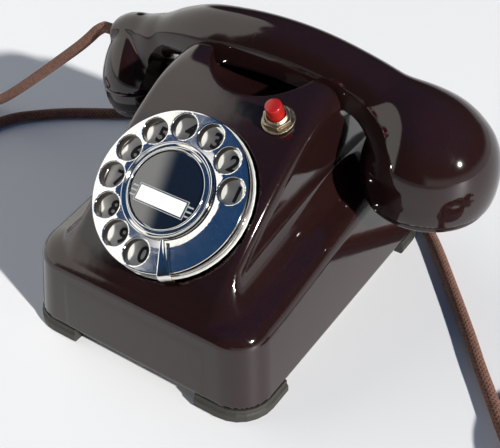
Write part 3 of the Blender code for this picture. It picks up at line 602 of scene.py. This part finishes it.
def skin(field, low, high, step):
    """Points, quads and normals of a field's zero surface, on a grid of the given step."""
    axes = [np.arange(a, b + step, step) for a, b in zip(low, high)]
    shape = tuple(len(a) for a in axes)
    grid = np.stack(np.meshgrid(*axes, indexing="ij"), -1)
    value = field(grid.reshape(-1, 3)).reshape(shape)
    inside = value < 0
    cells = tuple(n - 1 for n in shape)
    total, count = np.zeros((*cells, 3)), np.zeros(cells)
    for axis in range(3):
        ahead, behind = along_axis(axis)
        crossed = inside[ahead] != inside[behind]
        share = value[behind] / np.where(crossed, value[behind] - value[ahead], 1.0)
        place = grid[behind].copy()
        place[..., axis] += share * step
        others = [a for a in range(3) if a != axis]
        for shifts in ((0, 0), (0, 1), (1, 0), (1, 1)):
            pick = [slice(None)] * 3
            for other, shift in zip(others, shifts):
                pick[other] = slice(shift, shift + cells[other])
            total += place[tuple(pick)] * crossed[tuple(pick)][..., None]
            count += crossed[tuple(pick)]
    used = count > 0
    number = np.full(cells, -1)
    number[used] = np.arange(used.sum())
    points = total[used] / count[used][:, None]
    quads = []
    for axis in range(3):
        ahead, behind = along_axis(axis)
        one, two = [a for a in range(3) if a != axis]
        for crossed, leaving in ((inside[behind] & ~inside[ahead], False), (~inside[behind] & inside[ahead], True)):
            at = np.argwhere(crossed)
            at = at[(at[:, one] > 0) & (at[:, two] > 0) & (at[:, one] < cells[one]) & (at[:, two] < cells[two])]
            corners = []
            for back_one, back_two in ((0, 0), (1, 0), (1, 1), (0, 1)):
                cell = at.copy()
                cell[:, one] -= back_one
                cell[:, two] -= back_two
                corners.append(number[tuple(cell.T)])
            quad = np.stack(corners, 1)
            quads.append(quad[:, ::-1] if leaving == (axis != 1) else quad)
    quads = np.concatenate(quads)
    for _ in range(2):
        points = settled(field, relaxed(points, quads), step)
    for _ in range(2):
        points = settled(field, points, step)
    return points, quads, facing_of(field, points, 0.08)


def settled(field, points, step):
    """Moves the points onto a field's zero surface."""
    slope = slope_of(field, points)
    size = np.maximum((slope ** 2).sum(1), 0.05)
    move = (field(points) / size)[:, None] * slope
    length = np.linalg.norm(move, axis=1)[:, None]
    return points - move * np.minimum(1.0, 0.8 * step / np.maximum(length, 1e-9))


def refined(field, points, faces, chosen, step):
    """Quarters the chosen faces, and puts the new points on the field's zero surface."""
    made = bmesh.new()
    corners = [made.verts.new(p) for p in points]
    for face in faces:
        made.faces.new([corners[i] for i in face])
    made.faces.ensure_lookup_table()
    edges = {edge for i in chosen for edge in made.faces[i].edges}
    bmesh.ops.subdivide_edges(made, edges=list(edges), cuts=1, use_grid_fill=True)
    made.verts.index_update()
    points = np.array([v.co for v in made.verts])
    faces = [[v.index for v in face.verts] for face in made.faces]
    made.free()
    for _ in range(3):
        points = settled(field, points, step)
    return points, faces, facing_of(field, points, 0.05)


def relaxed(points, quads):
    """Moves each point half way to the middle of its neighbours."""
    total, count = np.zeros_like(points), np.zeros(len(points))
    for a, b in ((0, 1), (1, 2), (2, 3), (3, 0)):
        for one, other in ((quads[:, a], quads[:, b]), (quads[:, b], quads[:, a])):
            for axis in range(3):
                total[:, axis] += np.bincount(one, points[other, axis], len(points))
            count += np.bincount(one, minlength=len(points))
    return 0.5 * points + 0.5 * total / count[:, None]


# ---- body


def plan_distance(x, y, half_width, half_depth, corner):
    """Distance to a rounded rectangle seen from above."""
    dx, dy = np.abs(x) - half_width + corner, np.abs(y) - half_depth + corner
    return np.hypot(np.maximum(dx, 0), np.maximum(dy, 0)) + np.minimum(np.maximum(dx, dy), 0) - corner


def dial_coordinates(y, z):
    """Height up the dial's slope and distance out of its plane."""
    sine, cosine = math.sin(DIAL_TILT), math.cos(DIAL_TILT)
    dy, dz = y - DIAL_CENTRE[1], z - DIAL_CENTRE[2]
    return dy * cosine + dz * sine, dz * cosine - dy * sine


def face_depth(u):
    """How far the face lies out of the dial's plane, at u up the slope."""
    return -9.2 - np.where(u < 0, 0.0019 * u * u, 0.0015 * u * u + 0.000012 * u ** 3)


def rear_edge(z):
    """The y of the neck's rear face."""
    t = np.clip((z - 56.0) / 64.5, 0, 1)
    return 58.0 + 27.0 * (1 - t) ** 2


def outside(x, y, z):
    """The moulding's outer form without its openings, and the same form without its fillet."""
    taper = SKIRT_TAPER * (z - SKIRT_BOTTOM)
    plan = plan_distance(x, y, BASE_HALF_WIDTH - taper, BASE_HALF_DEPTH - taper, BASE_CORNER)
    rise = LEDGE_RISE * step_between(y, -85.0, 25.0)
    ledge = LEDGE_HEIGHT + rise + LEDGE_SLOPE * np.clip(-plan, 0, 26)
    base = meet(plan, z - ledge, 5.0)
    u, h = dial_coordinates(y, z)
    side = np.abs(x) - NECK_HALF_WIDTH
    neck = meet(side, z - NECK_TOP, NECK_ROUND)
    neck = meet(neck, 0.93 * (h - face_depth(u)), 6.0)
    neck = meet(neck, y - rear_edge(z), 6.5)
    neck = meet(neck, plan, 5.0)
    return join(base, neck, 0.4 + 9.6 * step_between(-plan, 2.0, 14.0)), np.minimum(base, neck)


def body_field(points):
    """The shell with its hollow, cradle, finger bowl, dial opening and holes."""
    x, y, z = points.T
    form, plain = outside(x, y, z)
    u, h = dial_coordinates(y, z)
    across = np.abs(y - CRADLE_Y) / TROUGH_HALF_WIDTH
    trough = 15.0 * (oval(across, np.maximum(TROUGH_TOP - z, 0) / TROUGH_DEPTH, 2.86) - 1)
    around = np.hypot(x / BOWL_HALF_WIDTH, (y - BOWL_Y) / BOWL_HALF_DEPTH)
    bowl = 26.0 * (oval(around, np.maximum(BOWL_TOP - z, 0) / BOWL_DEPTH, 3.4) - 1)
    body = less(form, bowl, 1.2 + 1.8 * step_between(x, -24.0, -6.0))
    body = less(body, trough, 1.5 + 2.0 * step_between(np.abs(x), 26.0, 33.0))
    cavity = np.maximum(plain + WALL, z - CAVITY_TOP)
    body = np.maximum(body, -cavity)
    body = meet(body, SKIRT_BOTTOM - z, 1.0)
    dial = np.maximum(np.hypot(x, u) - DIAL_OPENING, OPENING_BACK - h)
    body = less(body, dial, 0.7)
    bu, bh = u - BUTTON_PLACE[1], h - face_depth(np.array(BUTTON_PLACE[1]))
    button = np.maximum(np.hypot(x - BUTTON_PLACE[0], bu + 0.24 * bh) - BUTTON_HOLE, OPENING_BACK - h)
    body = np.maximum(body, -button)
    for side in (-1, 1):
        pin = np.maximum(np.hypot(x - side * PLUNGER_X, y - CRADLE_Y) - PLUNGER_HOLE, 90.0 - z)
        body = less(body, pin, 0.5)
    for gland in (LINE_GLAND, HANDSET_GLAND):
        hole = np.maximum(np.hypot(x - gland, z - GLAND_Z) - GLAND_HOLE, 70.0 - y)
        body = less(body, hole, 0.5)
    return body


def put_skin(name, field, low, high, step, matrix, *rest):
    """Skins a field and puts it in place."""
    points, quads, normals = skin(field, low, high, step)
    return put(name, mesh_from(name, points, quads, matrix, normals), *rest)


def make_body(material):
    points, quads, normals = skin(body_field, (-70.5, -93.5, 6.0), (70.5, 93.5, 124.0), 1.5)
    middles = points[quads].mean(1)
    near_lip = (middles[:, 2] > 99) & (np.abs(middles[:, 0]) < 40) & (middles[:, 1] < 58)
    points, quads, normals = refined(body_field, points, quads, np.flatnonzero(near_lip), 0.75)
    data = mesh_from("body_moulding", points, quads, normals=normals)
    put("body_moulding", data, material, "root", ["body_shell"], "bakelite")


# ---- handset

# Along the handle: how far its top lies under the arch, its underside's height, and its half width.
HANDLE_X = (-112, -106.8, -99, -92.5, -86, -73, -60, -47, -22, 0, 22, 45, 65, 80, 92, 104)
HANDLE_UNDER = (3.8, 1.4, 0.2, 1.2, 3.2, 4.3, 1.9, 0.3, 0, 0, 0, 0.3, 0.3, 0.3, 2.4, 7)
HANDLE_BOTTOM = (91, 90, 91, 92.5, 93.5, 95, 98, 102.2, 105.8, 107, 105.8, 102.4, 95, 86, 82, 82)
HANDLE_HALF = (7.4, 8.2, 8.6, 8.8, 9.2, 10.8, 12.8, 14.4, 14.5, 14.5, 14.5, 14.7, 15.6, 17, 16, 10)


def mouth_coordinates(x, y, z):
    """Distance from the mouthpiece's axis, and height along it."""
    sine, cosine = math.sin(MOUTH_LEAN), math.cos(MOUTH_LEAN)
    dx, dz = x - MOUTH_X, z - MOUTH_Z
    return np.hypot(dx * cosine - dz * sine, y - CRADLE_Y), dx * sine + dz * cosine


def handset_field(points):
    """The handle, the receiver's bulb and the mouthpiece's housing in one moulding."""
    x, y, z = points.T
    top = ARCH_TOP - ARCH_DROOP * (x / 85.0) ** 2 - through(x, HANDLE_X, HANDLE_UNDER)
    bottom = through(x, HANDLE_X, HANDLE_BOTTOM)
    half = through(x, HANDLE_X, HANDLE_HALF)
    flat = step_between(x, -72.0, -35.0) * (1 - step_between(x, 62.0, 84.0))
    widest = bottom + (0.5 - 0.32 * flat) * (top - bottom)
    reach = np.where(z > widest, top - widest, widest - bottom)
    power = np.where(z > widest, 2.1 + 0.05 * flat, 2.1 + 1.1 * flat)
    section = oval(np.abs(y - CRADLE_Y) / half, np.abs(z - widest) / reach, power)
    handle = (section - 1) * np.minimum(half, 0.5 * (top - bottom))
    handle = meet(handle, NOSE_X - x, 5.0)
    handle = meet(handle, x - 106.0, 8.0)
    out = np.hypot(x - RECEIVER_X, y - CRADLE_Y) / RECEIVER_RADIUS
    bulb = (oval(out, np.abs(z - RECEIVER_Z) / RECEIVER_HALF_HEIGHT, 2.15) - 1) * RECEIVER_RADIUS
    bulb = meet(bulb, 67.0 - z, 0.8)
    form = join(handle, bulb, 13.0)
    out, along = mouth_coordinates(x, y, z)
    over = np.maximum(along - MOUTH_STRAIGHT, 0) / MOUTH_DOME
    dome = (oval(out / MOUTH_RADIUS, over, 1.53) - 1) * MOUTH_RADIUS
    dome = meet(dome, 17.0 - along, 0.6)
    form = join(form, dome, 1.5 + 15.0 * step_between(x, -92.0, -74.0))
    recess = np.maximum(np.hypot(x - RECEIVER_X, y - CRADLE_Y) - 26.5, z - 83.0)
    form = np.maximum(form, -recess)
    recess = np.maximum(out - 17.5, along - 27.0)
    form = np.maximum(form, -recess)
    bore = np.maximum(np.hypot(y - CRADLE_Y, z - NOSE_Z) - NOSE_BORE, x + 102.0)
    return less(form, bore, 0.4)


def make_handset(material):
    """The handset's moulding and its two caps."""
    put_skin("handset_moulding", handset_field, (-115.0, 2.0, 60.0), (121.5, 74.0, 136.0), 1.15, None,
             material, "handset", ["handset_shell"], "bakelite")
    ear = Matrix.Translation((RECEIVER_X, CRADLE_Y, 0))
    profile = [(0, 63.4), (12.0, 61.8), (27.6, 61.6), (30.2, 63.4), (30.4, 66.0), (29.2, 66.7), (0, 66.7)]
    rim = rounded(profile, 1.2)
    cap = drilled("earpiece_front", turned("earpiece_front", rim, 128, ear, 40), ear, 60.0, 66.0, 1.1)
    put("earpiece_front", cap, material, "handset", ["earpiece_cap"], "bakelite")
    mouth = Matrix.Translation((MOUTH_X, CRADLE_Y, MOUTH_Z)) @ Matrix.Rotation(MOUTH_LEAN, 4, "Y")
    profile = [(0, 2.0), (9.0, 0.5), (17.5, 0.0), (20.3, 1.4), (21.7, 4.2), (21.2, 5.1), (22.4, 6.2),
               (MOUTH_RADIUS, 11.0), (MOUTH_RADIUS, 15.8), (22.5, 16.7), (0, 16.7)]
    cap = turned("mouthpiece_front", rounded(profile, 0.7), 128, mouth, 40)
    cap = drilled("mouthpiece_front", cap, mouth, -2.0, 4.0, 1.2)
    put("mouthpiece_front", cap, material, "handset", ["mouthpiece_cap"], "bakelite")


def drilled(name, data, matrix, low, high, radius):
    """Cuts the sound holes into a cap's face, one in two rings."""
    cutter = bmesh.new()
    for ring, count in ((0.0, 1), (5.2, 6), (10.2, 12)):
        for x, y in circle(count):
            centre = matrix @ Vector((ring * x, ring * y, (low + high) / 2))
            place = Matrix.Translation((centre + SHIFT) * MM) @ matrix.to_3x3().to_4x4()
            bmesh.ops.create_cone(cutter, cap_ends=True, segments=16, radius1=radius * MM, radius2=radius * MM,
                                  depth=(high - low) * MM, matrix=place)
    tool_data = bpy.data.meshes.new("drill")
    cutter.to_mesh(tool_data)
    cutter.free()
    target, tool = linked(name, data), linked("drill", tool_data)
    modifier = target.modifiers.new("holes", "BOOLEAN")
    modifier.object, modifier.solver = tool, "EXACT"
    result = baked(target)
    bpy.data.objects.remove(tool)
    result.shade_smooth()
    result.set_sharp_from_angle(angle=math.radians(40))
    return result


# ---- dial

DIAL = Matrix.Translation(DIAL_CENTRE) @ Matrix.Rotation(DIAL_TILT, 4, "X")


def wheel_field(points):
    """The finger wheel: a pressed plate with collared holes, a sunk middle and a soft rim."""
    x, u, h = points.T
    r = np.hypot(x, u)
    top = -0.04 * np.clip(27.0 - r, 0, 4.6)
    plate = meet(meet(h - top, -3.3 - h, 0.3), r - WHEEL_RADIUS, 0.7)
    for angle in HOLE_ANGLES:
        hole = np.hypot(x - HOLE_CIRCLE * math.cos(angle), u - HOLE_CIRCLE * math.sin(angle)) - HOLE_RADIUS
        plate = np.minimum(plate, np.maximum(np.maximum(hole - 0.8, h + 1.0), -4.6 - h))
        plate = meet(plate, -hole, 0.45)
    return np.maximum(plate, 8.4 - r)


def make_dial(finishes):
    """The wheel, its ring, the bezel, the stop and what is printed."""
    reach = WHEEL_RADIUS + 1.5
    put_skin("wheel_plated", wheel_field, (-reach, -reach, -6.4), (reach, reach, 1.4), 0.55, DIAL,
             finishes["chrome"], "dial", ["finger_wheel"], "chrome")
    ring = rounded([(18.6, 0.0), (22.9, 0.0), (23.0, 1.4), (22.7, 2.2), (22.2, 2.2), (21.0, 0.7), (20.5, 0.7),
                    (19.5, 2.3), (19.0, 2.4), (18.6, 1.7), (18.6, 0.4)], 0.35, 3)
    put_turned("ring_plated", ring, 160, DIAL, 60, finishes["chrome"], "dial", ["centre_ring"], "chrome")
    bezel = rounded([(39.4, -16.0), (39.4, -7.4), (39.1, -6.9), (38.8, -7.2), (38.5, -6.1), (38.2, -5.8),
                     (37.9, -6.2), (37.7, -7.0), (37.7, -16.0)], 0.25, 3)
    put_turned("bezel_plated", bezel, 160, DIAL, 60, finishes["chrome"], "root", ["dial_bezel"], "chrome")
    make_stop(finishes["chrome"])
    make_digits(finishes["ink"])
    make_card_print(finishes["print"])


def make_stop(material):
    """The finger stop: a curved tapering plate from the bezel to the wheel's middle."""
    stations, around = 43, 20
    knots = np.arange(8)
    radius = (41.7, 41.7, 41.3, 39.8, 36.8, 32.8, 28.0, 23.9)
    degrees = (-63.0, -63.0, -63.2, -63.5, -63.8, -64.1, -64.3, -64.4)
    height = (-11.0, -4.8, -1.2, 0.9, 1.7, 2.2, 2.6, 2.7)
    half = (2.9, 3.1, 3.3, 3.3, 2.8, 2.1, 1.4, 0.9)
    places = []
    for t in np.linspace(0, 7, stations):
        r, a, z, width = (float(through(t, knots, values)) for values in (radius, degrees, height, half))
        a = math.radians(a)
        places.append((Vector((r * math.cos(a), r * math.sin(a), z)), a, width))
    points, rings = [], []
    for i, (place, a, width) in enumerate(places):
        ahead, behind = places[min(i + 1, stations - 1)][0], places[max(i - 1, 0)][0]
        along = (ahead - behind).normalized()
        side = Vector((-math.sin(a), math.cos(a), 0.0))
        up = side.cross(along).normalized()
        for x, y in circle(around):
            flat, thick = math.copysign(abs(x) ** 0.7, x), math.copysign(abs(y) ** 0.8, y)
            crown = 0.35 * (1 - flat * flat)
            points.append(place + side * width * flat + up * (0.55 * thick - crown))
        rings.append([i * around + k for k in range(around)])
    faces = [rings[0][::-1], rings[-1]]
    for low, high in zip(rings, rings[1:]):
        faces += band(low, high)
    data = facing_out(mesh_from("stop_plated", [tuple(p) for p in points], faces, DIAL), 50)
    put("stop_plated", data, material, "root", ["finger_stop"], "chrome")


def make_digits(material):
    """The plate's digits, upright under their holes."""
    for i, angle in enumerate(HOLE_ANGLES):
        curve = bpy.data.curves.new("digit", "FONT")
        curve.body = digit = str((i + 1) % 10)
        curve.align_x = curve.align_y = "CENTER"
        curve.size, curve.offset, curve.extrude = 10.8, 0.30, 0.06
        curve.resolution_u = 6
        data = baked(linked("digit_draft", curve))
        spot = Vector((HOLE_CIRCLE * math.cos(angle), HOLE_CIRCLE * math.sin(angle), -PLATE_DEPTH + 0.07))
        place = Matrix.Translation(SHIFT) @ DIAL @ Matrix.Translation(spot)
        data.transform(Matrix.Scale(MM, 4) @ place)
        put("digit_" + digit, data, material, "root", slot="black_lacquer")


def make_card_print(material):
    """The card's border lines and the three short bars at each end."""
    made = bmesh.new()
    strips = []
    for sign in (-1, 1):
        strips.append((0.0, CARD_MIDDLE + sign * 4.25, 27.6, 0.35))
        strips.append((sign * 13.65, CARD_MIDDLE, 0.35, 8.5))
        for bar in (-2.3, 0.0, 2.3):
            strips.append((sign * 15.5, CARD_MIDDLE + bar, 2.9, 0.75))
    for x, u, width, depth in strips:
        place = Matrix.Translation((x, u, 1.36)) @ Matrix.Diagonal((width, depth, 0.1, 1))
        bmesh.ops.create_cube(made, size=1.0, matrix=place)
    bmesh.ops.transform(made, matrix=Matrix.Scale(MM, 4) @ Matrix.Translation(SHIFT) @ DIAL, verts=made.verts)
    data = bpy.data.meshes.new("card_print")
    made.to_mesh(data)
    made.free()
    put("card_print", data, material, "dial", slot="paper")


# ---- button


def make_button(finishes):
    """The red button with its threaded bush, nut and washer."""
    lean = math.atan(0.0030 * BUTTON_PLACE[1] + 0.000036 * BUTTON_PLACE[1] ** 2)
    depth = float(face_depth(np.array(BUTTON_PLACE[1])))
    place = DIAL @ Matrix.Translation((*BUTTON_PLACE, depth)) @ Matrix.Rotation(-lean, 4, "X")
    cap = rounded([(0, 13.0), (3.2, 12.8), (3.95, 12.5), (4.1, 11.6), (4.15, -3.0), (2.0, -3.0), (2.0, -14.0),
                   (0, -14.0)][::-1], 0.5)
    put_turned("button_gloss", cap, 96, place, 50, finishes["red_plastic"], "button", ["button_cap"], "red_plastic")
    bush = [(4.5, -18.0), (5.2, -18.0)]
    for i in range(12):
        h = 0.2 + i * 0.45
        bush += [(5.15, h), (5.42, h + 0.22)]
    bush += [(5.35, 5.6), (4.9, 5.9), (4.5, 5.7)]
    put_turned("bush_threaded", bush, 72, place, 60, finishes["brass"], "root", ["button_bush"], "brass")
    washer = rounded([(6.0, 0.35), (8.0, 0.35), (8.1, 0.7), (8.0, 1.35), (6.0, 1.4), (6.0, 0.5)], 0.25, 3)
    put_turned("washer_plain", washer, 96, place, 60, finishes["brass"], "root", ["button_washer"], "brass")

    def nut_field(points):
        x, y, z = points.T
        sides = np.maximum.reduce([np.abs(x * math.cos(a) + y * math.sin(a)) for a in np.radians((30, 90, 150))])
        body = meet(sides - 6.45, np.abs(z - 3.0) - 1.35, 0.25)
        chamfer = np.hypot(x, y) * 0.5 + np.abs(z - 3.0) * 0.87 - 4.55
        return less(meet(body, chamfer, 0.15), np.hypot(x, y) - 5.6, 0.25)

    put_skin("nut_chamfered", nut_field, (-8, -8, 1), (8, 8, 5), 0.28, place, finishes["brass"], "root",
             ["button_nut"], "brass")


# ---- cords

LINE_ROUTE = [
    (12, 97.4, 18.5), (12, 101.5, 18.3), (13.2, 107.5, 15.2), (17.4, 113.4, 9.6), (26, 116.8, 4.6),
    (39.5, 112, 3.4), (52.4, 99.4, 3.4), (64.6, 88.6, 3.4), (75.4, 77.8, 3.4), (85.2, 66.6, 3.4),
    (100, 48.4, 3.4), (112.2, 33.3, 3.4), (124.6, 17.5, 3.4), (136.6, 1.6, 3.4), (147.6, -12, 3.4),
    (158.4, -25.8, 3.4), (167.6, -36.8, 3.4), (176.8, -47.6, 3.4), (185.3, -58.4, 3.4), (194.6, -66.8, 3.4),
]
HANDSET_ROUTE = [
    (-117, 38, 96), (-119.6, 38, 95.9), (-125.8, 38, 91.8), (-133, 38, 84.8), (-143, 38, 75.8),
    (-159, 38, 62.4), (-178, 38, 46.6), (-199, 38, 29.6), (-218, 38, 15.4), (-236, 38, 5.6),
    (-250, 38.4, 3.4), (-264, 38.4, 3.4),
]
RETURN_ROUTE = [
    (-25, 97.4, 18.5), (-25, 101.5, 18.3), (-26.4, 109, 14.8), (-32, 117.4, 8.8), (-43, 124, 4.2), (-60, 125, 3.4),
    (-85, 119.5, 3.4), (-112, 107.5, 3.4), (-138, 92, 3.4), (-161.6, 76.7, 3.4), (-175, 68.4, 3.4),
    (-188.3, 58.9, 3.4), (-201, 47.4, 3.4), (-209.5, 37.7, 3.4), (-215.6, 24, 3.4), (-217.6, 8, 3.6),
]
LINE_COIL = (221.0, -28.5)
HANDSET_COIL = (-264.0, -8.0)
OUTER, INNER = COIL_MIDDLE + COIL_PITCH / 2, COIL_MIDDLE - COIL_PITCH / 2
FIRST, SECOND, THIRD = 3.4, 9.8, 16.2
# Angle in degrees from where the cord joins the coil, radius and height.
LOWER_TURNS = [
    (60, OUTER, FIRST), (280, OUTER, FIRST), (360, INNER, FIRST), (600, INNER, FIRST), (680, INNER, SECOND),
]
LINE_TURNS = [
    (0, 46.5, FIRST), *LOWER_TURNS, (920, INNER, SECOND), (1000, OUTER, SECOND), (1240, OUTER, SECOND),
    (1320, OUTER, THIRD), (1440, OUTER, THIRD),
]
HANDSET_TURNS = [(0, 46.4, FIRST), *LOWER_TURNS, (890, INNER, SECOND), (960, 44.2, SECOND), (990, 46.4, 7.4)]


def smooth_path(points, lead):
    """Places along a Catmull-Rom curve through the points, about 3 mm apart. lead is where it comes from."""
    places = [Vector(p) for p in points]
    places = [places[0] + Vector(lead)] + places + [2 * places[-1] - places[-2]]
    made = []
    for a, b, c, d in zip(places, places[1:], places[2:], places[3:]):
        count = max(1, round((c - b).length / 3.0))
        for i in range(count):
            t = i / count
            made.append(0.5 * ((2 * b) + (c - a) * t + (2 * a - 5 * b + 4 * c - d) * t * t
                               + (3 * b - a - 3 * c + d) * t ** 3))
    return made + [places[-2]]


def turns(centre, start, stations):
    """Places round a coil, about 9 degrees apart, between stations of angle, radius and height."""
    made = []
    for (a, r, z), (b, s, w) in zip(stations, stations[1:]):
        for t in np.linspace(0, 1, max(1, round((b - a) / 9.0)), endpoint=False):
            ease = step_between(t, 0, 1)
            made.append((a + (b - a) * t, r + (s - r) * ease, z + (w - z) * ease))
    made.append(stations[-1])
    angles = [math.radians(start + a) for a, _, _ in made]
    return [Vector((centre[0] + r * math.cos(angle), centre[1] + r * math.sin(angle), z))
            for angle, (_, r, z) in zip(angles, made)]


def tube(name, places, radii):
    """A round tube in the row's frame, with a radius at each place. U runs round it and V along it, in rounds."""
    around = 20
    points, rings, distance = [], [], [0.0]
    side = (places[1] - places[0]).normalized().orthogonal().normalized()
    for i, (place, radius) in enumerate(zip(places, radii)):
        ahead, behind = places[min(i + 1, len(places) - 1)], places[max(i - 1, 0)]
        tangent = (ahead - behind).normalized()
        side = (side - tangent * side.dot(tangent)).normalized()
        other = tangent.cross(side)
        if i:
            distance.append(distance[-1] + (place - places[i - 1]).length)
        rings.append([i * around + k for k in range(around)])
        for x, y in circle(around):
            points.append(tuple((place + (side * x + other * y) * radius) * MM))
    faces, uvs = [], []
    girth = 2 * math.pi * max(radii)
    for i in range(len(places) - 1):
        faces += band(rings[i], rings[i + 1])
        low, high = distance[i] / girth, distance[i + 1] / girth
        for k in range(around):
            uvs += [(k / around, low), ((k + 1) / around, low), ((k + 1) / around, high), (k / around, high)]
    for cap in (rings[0][::-1], rings[-1]):
        faces.append(cap)
        uvs += [(0.5 + 0.1 * x, 0.1 * y) for x, y in circle(around)]
    data = bpy.data.meshes.new(name)
    data.from_pydata(points, [], faces)
    layer = data.uv_layers.new(name="braid")
    layer.data.foreach_set("uv", [c for uv in uvs for c in uv])
    data.update()
    data.shade_smooth()
    data.set_sharp_from_angle(angle=math.radians(50))
    return data


def make_cords(finishes):
    """Both cloth cords at their whole length, and the rubber sleeves where they leave the body."""
    nose = Vector((NOSE_X + 0.2, CRADLE_Y, NOSE_Z)) + SHIFT
    down = smooth_path([nose, *HANDSET_ROUTE], (15, 0, 0))
    back = smooth_path(RETURN_ROUTE[::-1], (0, -14, 4.0))
    route = down[:-1] + turns(HANDSET_COIL, 90.0, HANDSET_TURNS) + back
    cord = put("handset_flex", tube("handset_flex", route, [CORD_RADIUS] * len(route)), finishes["braid"], "root",
               ["handset_cord", "handset_cord_coil", "handset_cord_return", "handset_cord_bush"], "braid")
    unparent(cord)
    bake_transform(cord)
    out = smooth_path(LINE_ROUTE, (0, -14, 0))
    coil = turns(LINE_COIL, 235.4, LINE_TURNS)
    middle = Vector((*LINE_COIL, 0))
    plug = middle + Vector((COIL_MIDDLE + 3 * CORD_RADIUS + 0.7, 58.0, 13.1))
    leave = [coil[-1], middle + Vector((43.5, -11.0, 14.6)), plug - Vector((0, 51.0, 0)), plug - Vector((0, 44.0, 0))]
    route = out[:-1] + coil[:-1] + smooth_path(leave, coil[-2] - coil[-1])
    line = put("line_flex", tube("line_flex", route, [CORD_RADIUS] * len(route)), finishes["braid"], "root",
               ["line_cord", "line_cord_coil"], "braid")
    radii = [5.4 - 1.5 * min(1.0, i / 6) ** 0.8 for i in range(8)]
    for name, path in (("line_sleeve", out), ("handset_sleeve", back[::-1])):
        put(name, tube(name, path[:len(radii)], radii), finishes["rubber"], "root", slot="rubber")


def unparent(piece):
    """Leaves a piece with no parent and no body."""
    piece.parent = None
    piece.matrix_world = Matrix.Identity(4)
    del piece["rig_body"]


# ---- everything


def finish_cad_nodes(frame, finishes):
    """Gives each CAD node its slot's finish, and softens the edges of those in plain sight."""
    for part in frame["record"]["subparts"]:
        node = frame["nodes"][part["node"]]
        if part["node"].startswith(("foot_", "line_plug")):
            bevel = node.modifiers.new("soft_edges", "BEVEL")
            bevel.width, bevel.segments = 0.0007, 3
            bevel.limit_method, bevel.angle_limit = "ANGLE", math.radians(35)
        node.data.materials.clear()
        node.data.materials.append(finishes[part["material_slot"]])


def main():
    for old in list(bpy.data.objects):
        bpy.data.objects.remove(old)
    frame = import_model()
    make_camera()
    make_sun()
    make_world()
    make_floor()
    finishes = {
        **plain_finishes(), "bakelite": bakelite(), "chrome": chrome(), "brass": worn_nickel(), "braid": braid(),
        "black_lacquer": lacquer(), "copper_winding": winding(),
    }
    finish_cad_nodes(frame, finishes)
    make_cords(finishes)
    make_body(finishes["bakelite"])
    make_handset(finishes["bakelite"])
    make_dial(finishes)
    make_button(finishes)


main()
